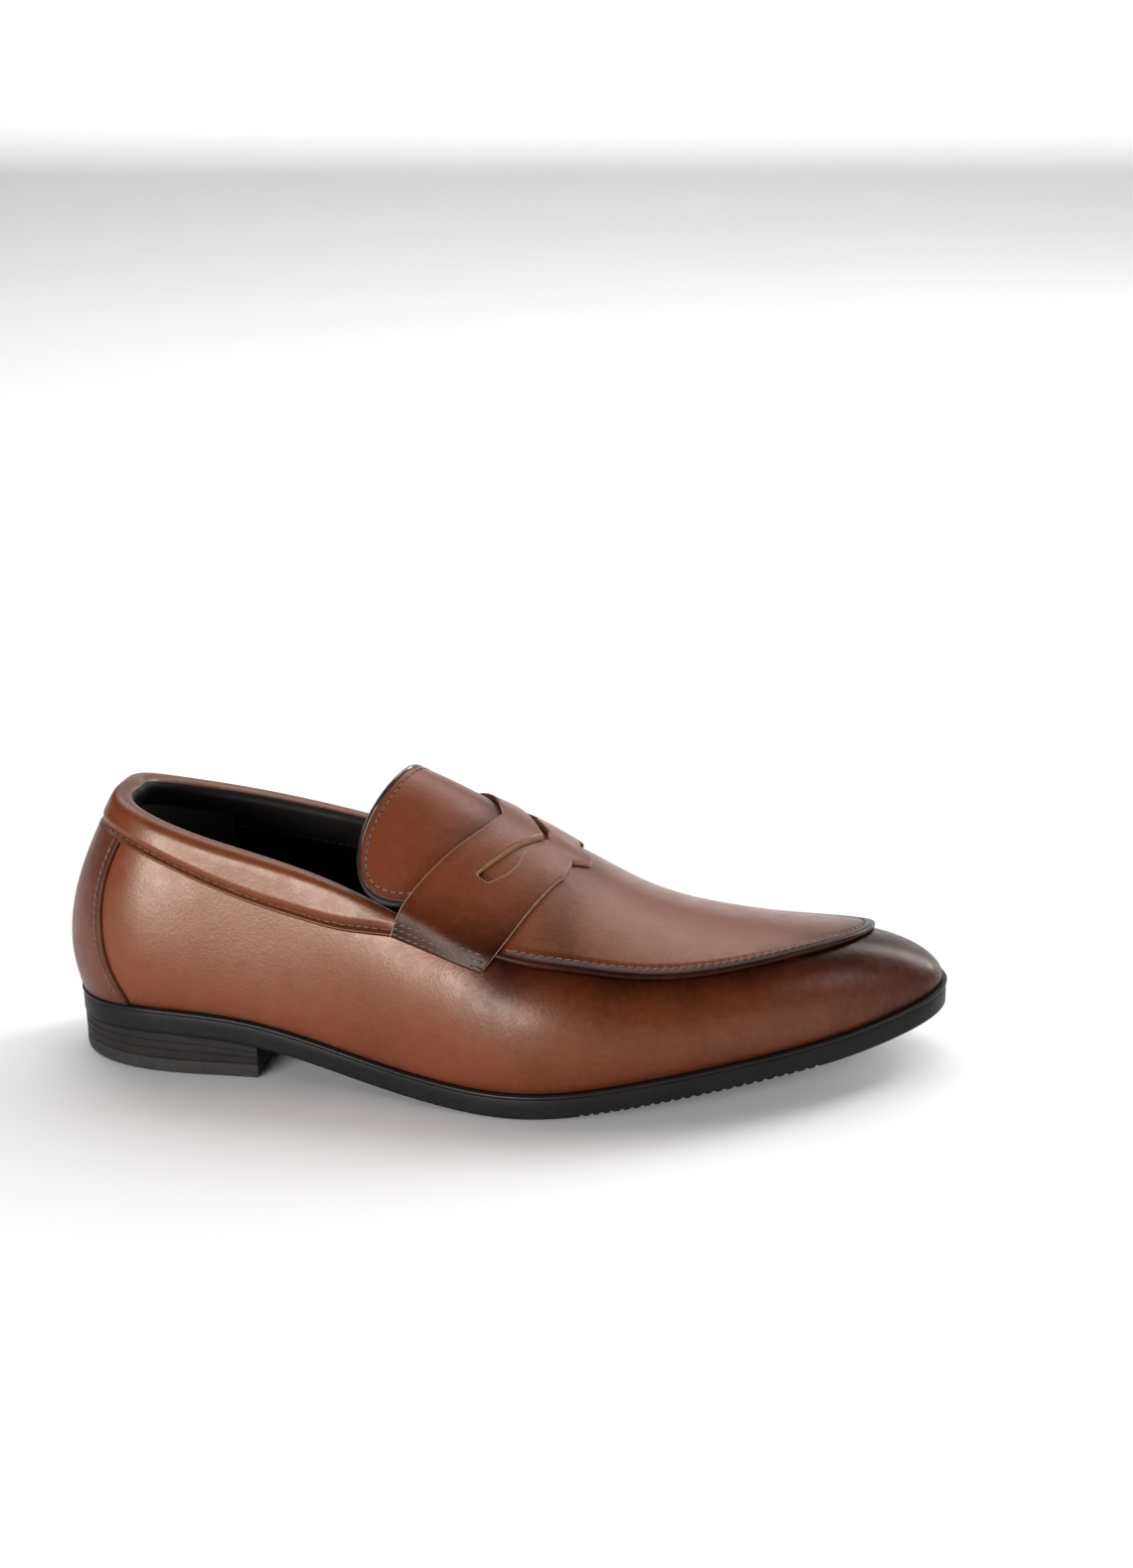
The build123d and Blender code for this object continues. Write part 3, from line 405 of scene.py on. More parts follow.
def stitches(name, seams, yarn, pitch=2.9, sink=0.05):
    """Thread over a list of seams (points, normals), one rounded stitch per pitch, with a flat dark lump of
    painted shade at each needle hole.
    """
    points, faces, slots = [], [], []
    around = np.linspace(0, 2 * np.pi, STITCH_RING, endpoint=False)
    along = np.cos(np.linspace(0, np.pi, STITCH_STEPS))

    def lump(origin, way, side, up, size, slot):
        start = sum(len(part) for part in points)
        ring = np.sin(np.arccos(along))[:, None]
        swell = np.sqrt(np.maximum(ring, 0.02))
        body = (origin + size[0] / 2 * along[:, None, None] * way
                + size[1] / 2 * (swell * np.cos(around))[..., None] * side
                + size[2] * (swell * np.sin(around))[..., None] * up)
        index = start + np.arange(STITCH_STEPS * STITCH_RING).reshape(STITCH_STEPS, STITCH_RING)
        quads = grid_faces(np.concatenate([index, index[:, :1]], 1)).tolist()
        quads += [index[0].tolist()[::-1], index[-1].tolist()]
        points.append(body.reshape(-1, 3))
        faces.extend(quads)
        slots.extend([slot] * len(quads))

    for places, normals in seams:
        run = run_length(places)
        count = max(1, int(round(run[-1] / pitch)))
        step = run[-1] / count

        def at(where, values):
            return np.stack([np.interp(where, run, values[:, k]) for k in range(3)], -1)

        for k in range(count):
            middle = (k + 0.5) * step
            up = unit(at(middle, normals))
            way = at(middle + 0.4, places) - at(middle - 0.4, places)
            way = unit(way - np.dot(way, up) * up)
            side = np.cross(up, way)
            lean = unit(way + 0.10 * side)
            size = (STITCH_SHARE * step, STITCH_WIDTH, STITCH_HEIGHT)
            lump(at(middle, places) + sink * up, lean, np.cross(up, lean), up, size, 0)
            # flat near-black lump at the needle hole: painted shade
            hole = at(middle + step / 2, places)
            lump(hole, way, side, up, ((1.25 - STITCH_SHARE) * step, STITCH_WIDTH * 0.9, 0.05), 1)
    return mesh_object(name, np.concatenate(points), faces, [yarn, needle_hole_shade], slots)


# ---------------------------------------------------------------- materials
class Nodes:
    """Builds one node material; positions are metres in the row frame."""

    def __init__(self, name):
        self.material = bpy.data.materials.new(name)
        self.material.use_nodes = True
        self.tree = self.material.node_tree
        self.shader = self.tree.nodes["Principled BSDF"]
        self.place = self.tree.nodes.new("ShaderNodeTexCoord").outputs["Object"]

    def add(self, kind, **inputs):
        node = self.tree.nodes.new(kind)
        for key, value in inputs.items():
            self.set(node.inputs[key.replace("_", " ")], value)
        return node

    def set(self, socket, value):
        if isinstance(value, bpy.types.NodeSocket):
            self.tree.links.new(value, socket)
        else:
            socket.default_value = value

    def stretch(self, scale, turn=(0, 0, 0)):
        mapping = self.tree.nodes.new("ShaderNodeMapping")
        mapping.inputs["Scale"].default_value = scale
        mapping.inputs["Rotation"].default_value = turn
        self.tree.links.new(self.place, mapping.inputs["Vector"])
        return mapping.outputs["Vector"]

    def noise(self, scale, detail=3.0, rough=0.55, vector=None):
        node = self.add("ShaderNodeTexNoise", Scale=scale, Detail=detail, Roughness=rough)
        self.set(node.inputs["Vector"], vector or self.place)
        return node.outputs["Fac"]

    def cells(self, scale):
        node = self.add("ShaderNodeTexVoronoi", Scale=scale)
        self.set(node.inputs["Vector"], self.place)
        return node.outputs["Distance"]

    def math(self, operation, a, b, clamp=False):
        node = self.tree.nodes.new("ShaderNodeMath")
        node.operation = operation
        node.use_clamp = clamp
        self.set(node.inputs[0], a)
        self.set(node.inputs[1], b)
        return node.outputs[0]

    def remap(self, value, low, high, to_low=0, to_high=1):
        node = self.tree.nodes.new("ShaderNodeMapRange")
        for socket, number in zip(node.inputs[1:5], (low, high, to_low, to_high)):
            socket.default_value = number
        self.set(node.inputs[0], value)
        return node.outputs[0]

    def attribute(self, name):
        node = self.tree.nodes.new("ShaderNodeAttribute")
        node.attribute_name = name
        return node.outputs["Fac"]

    def mix(self, share, a, b):
        node = self.tree.nodes.new("ShaderNodeMix")
        node.data_type = "RGBA"
        self.set(node.inputs["Factor"], share)
        self.set(node.inputs[6], (*a, 1) if isinstance(a, tuple) else a)
        self.set(node.inputs[7], (*b, 1) if isinstance(b, tuple) else b)
        return node.outputs[2]

    def bump(self, height, strength, distance, normal=None):
        node = self.add("ShaderNodeBump", Strength=strength, Distance=distance, Height=height)
        if normal is not None:
            self.set(node.inputs["Normal"], normal)
        return node.outputs["Normal"]

    def done(self, colour, roughness, normal=None, **direct):
        self.set(self.shader.inputs["Base Color"], (*colour, 1) if isinstance(colour, tuple) else colour)
        self.set(self.shader.inputs["Roughness"], roughness)
        if normal is not None:
            self.set(self.shader.inputs["Normal"], normal)
        for key, value in direct.items():
            self.set(self.shader.inputs[key.replace("_", " ")], value)
        return self.material


WARM = (1.0, 0.84, 0.72, 1.0)  # tint of the leather's sheen
MOTTLE = 0.125  # how far the cloudy dye moves the tone either way


def leather(name, light, dark, rough=0.36, grain=0.35, coat=0.03, gloss=0.56):
    """Smooth calf: light to dark by the tone attribute, which holds burnish and painted shade, with less
    specular where it is darker; cloudy dye, fine pores and creases.
    """
    n = Nodes(name)
    cloud = n.noise(38, 4, 0.6)
    fleck = n.noise(420, 2, 0.6)
    tone = n.math("ADD", n.attribute("tone"), n.remap(cloud, 0.35, 0.75, -MOTTLE, MOTTLE), clamp=True)
    tone = n.math("ADD", tone, n.remap(fleck, 0.3, 0.7, -0.06, 0.06), clamp=True)
    colour = n.mix(tone, light, dark)
    pores = n.cells(900)
    crease = n.noise(1500, 3, 0.6)
    height = n.math("ADD", n.math("MULTIPLY", pores, 0.7), n.math("MULTIPLY", crease, 0.6))
    normal = n.bump(height, grain, 0.00012)
    ripple = n.noise(70, 2, 0.5)
    normal = n.bump(ripple, 0.10, 0.0012, normal)
    roughness = n.remap(n.noise(160, 3, 0.6), 0.3, 0.7, rough - 0.05, rough + 0.06)
    shine = n.remap(tone, 0.15, 0.75, gloss, gloss * 0.25)
    return n.done(colour, roughness, normal, Specular_IOR_Level=shine, Specular_Tint=WARM, Coat_Weight=coat,
                  Coat_Roughness=0.26)


def raw_edge(name, light, dark):
    """Cut edge of leather: layered fibres."""
    n = Nodes(name)
    fibres = n.noise(900, 4, 0.7, n.stretch((0.3, 0.3, 1.6)))
    colour = n.mix(n.remap(fibres, 0.3, 0.7), light, dark)
    return n.done(colour, 0.75, n.bump(fibres, 0.5, 0.0002))


def painted_edge(name, colour, high):
    """Edge paint: glossy and a little uneven."""
    n = Nodes(name)
    waves = n.noise(260, 3, 0.5)
    return n.done(n.mix(n.remap(waves, 0.3, 0.7), colour, high), 0.3, n.bump(waves, 0.25, 0.0003),
                  Coat_Weight=0.5, Coat_Roughness=0.15)


def thread(name, light, dark):
    """Waxed thread with a fine twist."""
    n = Nodes(name)
    twist = n.noise(3200, 2, 0.5, n.stretch((1, 1.6, 0.7), (0.3, 0.5, 0.8)))
    colour = n.mix(n.remap(twist, 0.35, 0.65), light, dark)
    return n.done(colour, 0.55, n.bump(twist, 0.6, 0.0002), Sheen_Weight=0.2)


def rubber(name, colour, high, rough, strength=0.15, streak=(1, 1, 1), coat=0.0):
    """Moulded sole unit: fine texture, faint scuffs."""
    n = Nodes(name)
    fine = n.noise(900, 3, 0.6, n.stretch(streak))
    scuff = n.noise(60, 5, 0.7)
    colour = n.mix(n.remap(n.math("MULTIPLY", fine, scuff), 0.1, 0.4), colour, high)
    roughness = n.remap(scuff, 0.3, 0.7, rough - 0.07, rough + 0.1)
    return n.done(colour, roughness, n.bump(fine, strength, 0.0002), Specular_IOR_Level=0.10,
                  Coat_Weight=coat, Coat_Roughness=0.2)


def suede(name, colour, high):
    """Napped lining: short soft fibres."""
    n = Nodes(name)
    nap = n.noise(700, 5, 0.75)
    wipe = n.noise(45, 3, 0.5)
    shade = n.mix(n.remap(n.math("MULTIPLY", nap, wipe), 0.12, 0.4), colour, high)
    return n.done(shade, 0.9, n.bump(nap, 0.5, 0.0004), Sheen_Weight=0.12, Sheen_Roughness=0.5)


def woven(name, colour, high):
    """Plain woven lining cloth."""
    n = Nodes(name)
    waves = []
    for turn in ((0, 0, 0), (0, 0, math.pi / 2)):
        wave = n.add("ShaderNodeTexWave", Scale=900.0 / 6.3, Distortion=0.6, Detail=1.0)
        n.set(wave.inputs["Vector"], n.stretch((1, 1, 1), turn))
        waves.append(wave.outputs["Fac"])
    weave = n.math("MULTIPLY", *waves)
    return n.done(n.mix(weave, colour, high), 0.85, n.bump(weave, 0.4, 0.0002))


def metal(name, colour, rough):
    n = Nodes(name)
    brushed = n.noise(600, 3, 0.6, n.stretch((0.1, 1, 1)))
    shade = n.mix(brushed, colour, tuple(c * 0.75 for c in colour))
    roughness = n.remap(brushed, 0.3, 0.7, rough, rough + 0.15)
    return n.done(shade, roughness, n.bump(brushed, 0.1, 0.0001), Metallic=1.0)


def fibre(name, colour, high, scale):
    """Board, cork or felt: mixed grains."""
    n = Nodes(name)
    grains = n.cells(scale)
    clumps = n.noise(scale * 0.4, 4, 0.7)
    mixed = n.remap(n.math("MULTIPLY", grains, clumps), 0.05, 0.35)
    return n.done(n.mix(mixed, colour, high), 0.85, n.bump(mixed, 0.5, 0.0004))


DEEP = (0.014, 0.0028, 0.0014)  # the dark brown that the tone of every outer leather mixes towards: burnish, and painted shade in creases, seams and under overlapping pieces
DULL_BLACK = {"rough": 0.55, "coat": 0.0, "gloss": 0.2}
upper_skin = leather("upper_leather", (0.118, 0.0225, 0.0046), DEEP)
counter_skin = leather("counter_leather", (0.090, 0.018, 0.005), DEEP, grain=0.6, rough=0.40)
collar_skin = leather("collar_leather", (0.118, 0.024, 0.006), DEEP, rough=0.38)
apron_skin = leather("apron_leather", (0.138, 0.028, 0.0065), DEEP, grain=0.3)
strap_skin = leather("strap_leather", (0.135, 0.027, 0.008), DEEP)
tongue_skin = leather("tongue_leather", (0.145, 0.030, 0.009), DEEP, rough=0.40)
black_lining = leather("lining_leather", (0.010, 0.009, 0.009), (0.004, 0.004, 0.004), **DULL_BLACK)
heel_suede = suede("heel_suede", (0.012, 0.011, 0.009), (0.035, 0.032, 0.026))
sock_skin = leather("sock_leather", (0.012, 0.011, 0.011), (0.005, 0.005, 0.005), **DULL_BLACK)
vamp_cloth = woven("vamp_fabric", (0.012, 0.012, 0.012), (0.04, 0.04, 0.038))
cut_edge = raw_edge("strap_cut_edge", (0.34, 0.19, 0.10), (0.20, 0.09, 0.045))
edge_paint = painted_edge("edge_paint", (0.010, 0.006, 0.005), (0.028, 0.016, 0.012))
brown_thread = thread("brown_thread", (0.150, 0.062, 0.030), (0.060, 0.022, 0.011))
dark_thread = thread("dark_thread", (0.030, 0.026, 0.022), (0.012, 0.010, 0.009))
# near-black lumps at the needle holes stand for the shade inside them: painted shade
needle_hole_shade = fibre("needle_hole_shade", (0.008, 0.003, 0.002), (0.014, 0.006, 0.004), 2000.0)
sole_skin = rubber("sole_rubber", (0.006, 0.0055, 0.0055), (0.010, 0.0095, 0.009), rough=0.45, coat=0.05)
rand_skin = rubber("rand_rubber", (0.007, 0.0055, 0.005), (0.014, 0.010, 0.009), rough=0.36, coat=0.15)
stack_skin = rubber("heel_stack", (0.008, 0.0075, 0.007), (0.020, 0.018, 0.017), rough=0.5,
                    streak=(0.15, 0.15, 1.5))
lift_skin = rubber("lift_rubber", (0.016, 0.015, 0.014), (0.034, 0.031, 0.030), rough=0.6, strength=0.3)

# ---------------------------------------------------------------- the wall's layers
wall_u = np.linspace(0.0004, 0.9996, 760)


def wall_tone(points, top):
    """Burnish at the toe and round the heel; painted shade along the sole and under the apron's lip; a little
    darker towards the front and in a band round x = 6 up the wall.
    """
    x = points[..., 0]
    height = top[:, None, 2] - points[..., 2]
    low = points[..., 2] - sole_top(np.clip(x, HEEL_X, TOE_X))
    tone = 0.02 + 0.22 * smooth(x, -20, 50) + 0.30 * smooth(x, 85, 148) + 0.30 * smooth(-x, 118, 152)
    # painted shade in the crease where the wall meets the sole
    tone = tone + 0.45 * np.exp(-np.maximum(low, 0) / 3.0)
    # painted shade under the apron's lip, along the wall's top edge at the front
    tone = tone + 0.75 * np.exp(-np.maximum(height, 0) / 8.0) * smooth(x, -12, 12)
    return tone + 0.35 * hump(x, 6, 14) * smooth(points[..., 2], 20, 45)


def make_upper_wall():
    high = collar_seam(wall_u) + 0.02 * (1 - smooth(feather(wall_u)[:, 0], -30, -10))
    v = np.minimum(high, 0.995)[:, None] * np.linspace(0, 1, 54)
    outer = wall(wall_u, v, 0.0)
    inner = wall(wall_u, v, LEATHER)
    tone = wall_tone(outer, wall_top(wall_u))
    stands_for(shell("upper_wall_skin", outer, inner, [upper_skin], tone), "upper_leather", "upper_wall")


COUNTER_EDGE = np.array([(-122.0, 84.0), (-127.5, 74.0), (-132.0, 60.0), (-132.5, 47.0), (-130.0, 35.0),
                         (-124.0, 22.0), (-121.0, 10.0)])
counter_edge_x = cubic(COUNTER_EDGE[::-1, 1], COUNTER_EDGE[::-1, 0])


def counter_border(v, side):
    """Share of the girth, from the back seam, where the panel's front edge passes each height v."""
    reach = np.linspace(0.002, 0.12, 160)
    borders = []
    for height in v:
        u = reach if side == "lateral" else 1 - reach
        points = wall(u, np.full((len(u), 1), height))[:, 0]
        beyond = points[:, 0] - counter_edge_x(points[:, 2])
        borders.append(np.interp(0, beyond, reach))
    return np.array(borders)


def make_counter():
    up = np.linspace(0.004, 1, 44)
    near = np.array([0, 0.12, 0.3, 0.55, 0.9, 1.4, 2.2, 2.7, 3.0, 3.3, 3.8, 4.6]) / EDGE_LENGTH
    stitch_column = 8  # 3 mm in from the panel's edge
    middle = np.linspace(-1, 1, 70)[1:-1]
    columns = []
    for left, right in zip(-counter_border(up * 0.885, "medial"), counter_border(up * 0.885, "lateral")):
        inside = left + near[-1] + (middle + 1) / 2 * (right - left - 2 * near[-1])
        columns.append(np.concatenate([left + near, inside, (right - near)[::-1]]))
    u = np.array(columns).T
    edge = np.minimum(u - u[:1], u[-1:] - u) * EDGE_LENGTH
    rise = 0.25 + TRIM * np.sqrt(np.clip(1 - (1 - np.clip(edge / 0.7, 0, 1)) ** 2, 0, 1))
    rise = rise - 0.22 * hump(edge, 3.0, 0.45)
    rows = up * (collar_seam(u) + 0.012)

    def lay(lift):
        each = range(len(up))
        return np.stack([wall(u[:, k] % 1, rows[:, k:k + 1], 0.0, lift[:, k:k + 1])[:, 0] for k in each], 1)

    outer = lay(rise)
    inner = lay(np.full_like(rise, 0.05))
    # darker at the panel's edges and in a band under the collar; painted shade along the sole
    tone = 0.22 + 0.45 * np.exp(-edge / 2.2) + 0.30 * np.exp(-rows * 50 / 3) + 0.15 * hump(rows, 0.75, 0.08)
    stands_for(shell("counter_skin", outer, inner, [counter_skin], tone), "counter_leather", "counter_panel")
    normals = outward_normals(outer, inner)
    seams = [(outer[k, 3:42], normals[k, 3:42]) for k in (stitch_column, -1 - stitch_column)]
    stands_for(stitches("counter_thread", seams, brown_thread, sink=0.10), "thread", "counter_stitching")


make_upper_wall()
make_counter()

# ---------------------------------------------------------------- collar and linings
COLLAR_END_X, STITCH_END_X, LINING_SEAM_X, VAMP_SEAM_X = -22.0, -34.0, -102.0, -14.0
COLLAR_UP = 40  # rows of the collar's grid on its outer leaf
INNER_LEAF = 53  # first row that has the lining's black finish
COLLAR_SEAM = 2.4  # millimetres from the collar's lower edge to its stitching


def roll_over(start, end):
    """Bezier points over the top from one leaf (n, 4, 2) to the other."""
    ways = [unit(points[:, 3] - points[:, 2]) for points in (start, end)]
    reach = 0.62 * np.linalg.norm(end[:, 3] - start[:, 3], axis=-1, keepdims=True)
    return np.stack([start[:, 3], start[:, 3] + reach * ways[0], end[:, 3] + reach * ways[1], end[:, 3]], 1)


def collar_line(u, lip, inner, steps):
    """Flat outline of the collar's leather from its lower edge over the top and down inside."""
    outer_leaf, inner_leaf = profile(u, lip), profile(u, inner)
    up, over, down = steps
    seam = collar_seam(u)[:, None]
    return np.concatenate([
        bezier(outer_leaf, seam + (1 - seam) * up),
        bezier(roll_over(outer_leaf, inner_leaf), over),
        bezier(inner_leaf, 1 + (LEAF_START - 0.02 - 1) * down),
    ], 1)


def make_collar():
    u = np.linspace(medial(COLLAR_END_X) - 1, lateral(COLLAR_END_X), 520)
    steps = (np.linspace(0, 1, COLLAR_UP) ** 1.25, np.linspace(0, 1, 22)[1:-1], np.linspace(0, 1, 10))
    flat = collar_line(u, -COLLAR_LIP, inside_depth(u), steps)
    back = collar_line(u, LEATHER - COLLAR_LIP, inside_depth(u) - LEATHER, steps)
    reach = np.linalg.norm(np.diff(flat, axis=1), axis=-1)
    run = np.concatenate([np.zeros((len(u), 1)), np.cumsum(reach, 1)], 1)
    way = unit(np.gradient(flat, axis=1))
    out = np.stack([-way[..., 1], way[..., 0]], -1)
    leaf = run[:, COLLAR_UP - 1:COLLAR_UP]
    ends = smooth(leaf, 3, 9)
    puff = 1.15 * smooth(run, 2.2, 5.5) * (1 - 0.75 * smooth(run, leaf - 2, leaf + 8))
    rise = ends * (0.75 * hump(run, 0.9, 0.75) - 0.30 * hump(run, COLLAR_SEAM, 0.6) + puff)
    rise = rise - 0.55 * hump(run, 0, 0.35)
    outer = out_of_section(u, flat + rise[..., None] * out)
    inner = out_of_section(u, back)
    x = outer[..., 0]
    # darker at its lower edge; painted shade along its stitching; burnish round the heel
    tone = 0.06 + 0.55 * np.exp(-run / 0.9) + 0.28 * hump(run, 2.5, 0.9) + 0.35 * smooth(-x, 120, 150)
    # darker towards its front end; painted shade over the roll and down into the opening
    tone = tone + 0.30 * smooth(x, -55, -28) + 0.25 * smooth(run, leaf, leaf + 9)
    obj = shell("collar_skin", outer, inner, [collar_skin, black_lining], tone)
    inside = (np.arange(outer.shape[1] - 1) >= INNER_LEAF).astype(np.int32)
    slots = np.zeros(len(obj.data.polygons), np.int32)
    slots[:(len(u) - 1) * len(inside)] = np.tile(inside, len(u) - 1)
    obj.data.polygons.foreach_set("material_index", slots)
    stands_for(obj, "collar_leather", "collar_band")
    ids = np.nonzero(feather(u)[:, 0] < STITCH_END_X)[0]
    row = np.argmin(np.abs(run - COLLAR_SEAM), 1)[ids]
    seams = [(outer[ids, row], outward_normals(outer, inner)[ids, row])]
    stands_for(stitches("collar_thread", seams, brown_thread), "thread", "collar_stitching")


def lining_grid(u, v, extra):
    return wall(u, v, inside_depth(u) - extra)


def make_lining(name, slot, node, material, start, end):
    u = np.linspace(start, end, max(40, int((end - start) * 700)))
    v = np.linspace(0.05, LEAF_START + 0.01, 30)
    stands_for(shell(name, lining_grid(u, v, LINING), lining_grid(u, v, 0.0), [material]), slot, node)


def make_linings():
    gap = 0.0006  # between neighbouring linings, as a share of the girth
    margin = 0.004
    front_x = -40  # where the row of stitches along the quarter linings ends
    zigzag = 60
    make_lining("heel_lining_skin", "heel_suede", "heel_lining", heel_suede,
                medial(LINING_SEAM_X) - 1 + gap, lateral(LINING_SEAM_X) - gap)
    make_lining("quarter_lining_outer", "lining_leather", "quarter_lining_lateral", black_lining,
                lateral(LINING_SEAM_X) + gap, lateral(COLLAR_END_X))
    make_lining("quarter_lining_inner", "lining_leather", "quarter_lining_medial", black_lining,
                medial(COLLAR_END_X), medial(LINING_SEAM_X) - gap)
    u = np.linspace(lateral(VAMP_SEAM_X), medial(VAMP_SEAM_X), 260)
    v = np.linspace(0.03, 0.96, 26)
    depth = LEATHER + STIFFENER + 0.4
    cloth = shell("vamp_lining_cloth", wall(u, v, depth), wall(u, v, depth + LINING), [vamp_cloth])
    stands_for(cloth, "vamp_fabric", "vamp_lining")
    seams = []
    for share in (lateral(LINING_SEAM_X), medial(LINING_SEAM_X)):
        v = np.linspace(0.22, 0.93, zigzag)
        sway = share + 0.0011 * (2 * np.abs((np.arange(zigzag) / 2.0) % 1 - 0.5) * 2 - 1)
        points = np.stack([lining_grid(np.array([a]), np.array([b]), 0.0)[0, 0] for a, b in zip(sway, v)])
        inward = np.tile(np.append(section_inward(np.array([share]))[0], 0.0), (zigzag, 1))
        seams.append((points, inward))
    spans = [(lateral(LINING_SEAM_X) + margin, lateral(front_x)),
             (medial(front_x), medial(LINING_SEAM_X) - margin)]
    for start, end in spans:
        u = np.linspace(start, end, 90)
        points = lining_grid(u, np.array([0.86]), 0.0)[:, 0]
        inward = np.concatenate([section_inward(u), np.zeros((len(u), 1))], 1)
        seams.append((points, inward))
    stands_for(stitches("lining_thread", seams, dark_thread, pitch=2.6), "thread")


make_collar()
make_linings()

# ---------------------------------------------------------------- apron
APRON_START, APRON_END = 8.0, 95.0
# The apron's lip, from under its overhang up and in to its top: millimetres out from the wall's
# top edge, and above the top sheet.
APRON_LIP = np.array([
    (0.2, 0.10), (0.85, 0.35), (1.20, 0.85), (1.25, 1.35), (1.05, 1.85), (0.65, 2.2), (0.1, 2.35),
    (-0.5, 2.28), (-1.1, 2.05), (-1.7, 1.85), (-2.15, 1.72), (-2.6, 1.72), (-3.1, 1.86), (-3.8, 2.02),
])
APRON_SEAM = 10  # the column of the lip where the stitches lie


def make_apron():
    u = np.linspace(lateral(-12), medial(-12), 561)
    rim = wall_top(u)[:, :2]
    along = unit(np.gradient(rim, axis=0))
    out = np.stack([along[:, 1], -along[:, 0]], -1)
    centre_x = ease_between(rim[:, 0], APRON_START, APRON_END, 12.0)
    centre_x = (centre_x + centre_x[::-1]) / 2
    centre = np.stack([centre_x, ridge_y(centre_x)], -1)
    outset, lip_rise = APRON_LIP.T
    depth = -outset[-1]
    reach = np.linalg.norm(centre - rim, axis=1)
    deep = np.linspace(0, 1, 46)[1:] ** 1.3
    outward = np.concatenate([np.tile(outset, (len(u), 1)), -(depth + (reach[:, None] - depth) * deep)], 1)
    square_plan = rim[:, None] + outward[..., None] * out[:, None]
    plan = rim[:, None] - outward[..., None] * unit(centre - rim)[:, None]
    blend = np.concatenate([np.zeros(len(outset)), smooth(np.arange(len(deep)), 0, 8)])[None, :, None]
    plan = square_plan * (1 - blend) + plan * blend
    plan[:, -1] = centre
    rise = np.concatenate([lip_rise, np.full(len(deep), lip_rise[-1])])
    pucker = 0.10 * np.sin(run_length(rim) / 2.9 * 2 * np.pi)[:, None]
    outer = sheet_point(plan, rise + pucker * hump(np.arange(len(rise)), APRON_SEAM + 0.5, 1.6))
    inner = sheet_point(plan, 0.05)
    edge = np.maximum(-outward, -0.6)
    x = outer[..., 0]
    # darkest over the lip, with painted shade under its overhang and along its stitching, fading onto the top
    tone = 0.04 + 0.95 * (1 - smooth(edge, 0.2, 2.0)) + 0.50 * np.exp(-np.maximum(edge, 0) / 5.5)
    # burnish towards the toe, and a band round x = 26 darker
    tone = tone + 0.45 * smooth(x, 85, 132) + 0.30 * hump(x, 26, 10)
    obj = shell("apron_skin", outer, inner, [apron_skin], tone, weld=0.02, joined=True)
    stands_for(obj, "apron_leather", "apron")
    places = plan[rim[:, 0] > 10, APRON_SEAM]
    seam = (sheet_point(places, rise[APRON_SEAM]), sheet_normal(*places.T))
    stands_for(stitches("apron_thread", [seam], brown_thread, sink=0.04), "thread", "apron_stitching")


make_apron()

# ---------------------------------------------------------------- tongue
# The tongue's leaning plane (origin, then the ways along, aside and out of it) and the outline on it.
TONGUE_ORIGIN = np.array([-20, 1.6, 90.0])
TONGUE_AXES = np.array([(-0.866, 0, 0.5), (0, 1, 0), (0.5, 0, 0.866)])
TONGUE_EDGE = np.array([
    (-14.0, 34.4), (-5.0, 36.5), (4.0, 36.5), (11.0, 33.3), (16.5, 27.0), (19.4, 17.5), (18.6, 6.0),
    (15.0, -6.0), (9.0, -18.0), (2.0, -26.5), (-6.0, -31.5), (-14.0, -33.6),
])
TONGUE_SEAM = 2.7  # millimetres in from the tongue's edge
STRAP_REAR = np.array([(0.0, 0.0), (-11.5, 19.4), (-19.5, 29.5), (-26.6, 39.0), (-32.0, 50.0)])
STRAP_MID_Y = 0.6


def x_on(line, away):
    """x of a line of (x, distance from the strap's middle) at the distance away."""
    return np.interp(away, line[:, 1], line[:, 0])


def strap_rear(y):
    return x_on(STRAP_REAR, np.abs(y - STRAP_MID_Y))


def tongue_plan(along, aside):
    """Plan places where the top surface lies over points of the tongue's leaning plane."""
    low, high = np.full(len(along), -45.0), np.full(len(along), 25.0)
    base = TONGUE_ORIGIN + along[:, None] * TONGUE_AXES[0] + aside[:, None] * TONGUE_AXES[1]
    for _ in range(40):
        middle = (low + high) / 2
        point = base + middle[:, None] * TONGUE_AXES[2]
        above = point[:, 2] > sheet(point[:, 0], point[:, 1], PLUG)
        high = np.where(above, middle, high)
        low = np.where(above, low, middle)
    return base[:, :2] + middle[:, None] * TONGUE_AXES[2][:2]


def tongue_edge():
    whole = TONGUE_EDGE * (1, -1)
    run = run_length(whole)
    line = cubic(run, whole)(np.linspace(0, run[-1], 301))
    return tongue_plan(line[:, 0], line[:, 1])


def bends(obj, slot, *replaced):
    """The piece keeps its place, baked into its points, and takes the place of the replaced nodes."""
    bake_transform(obj)
    finish_of(obj, slot, *replaced)


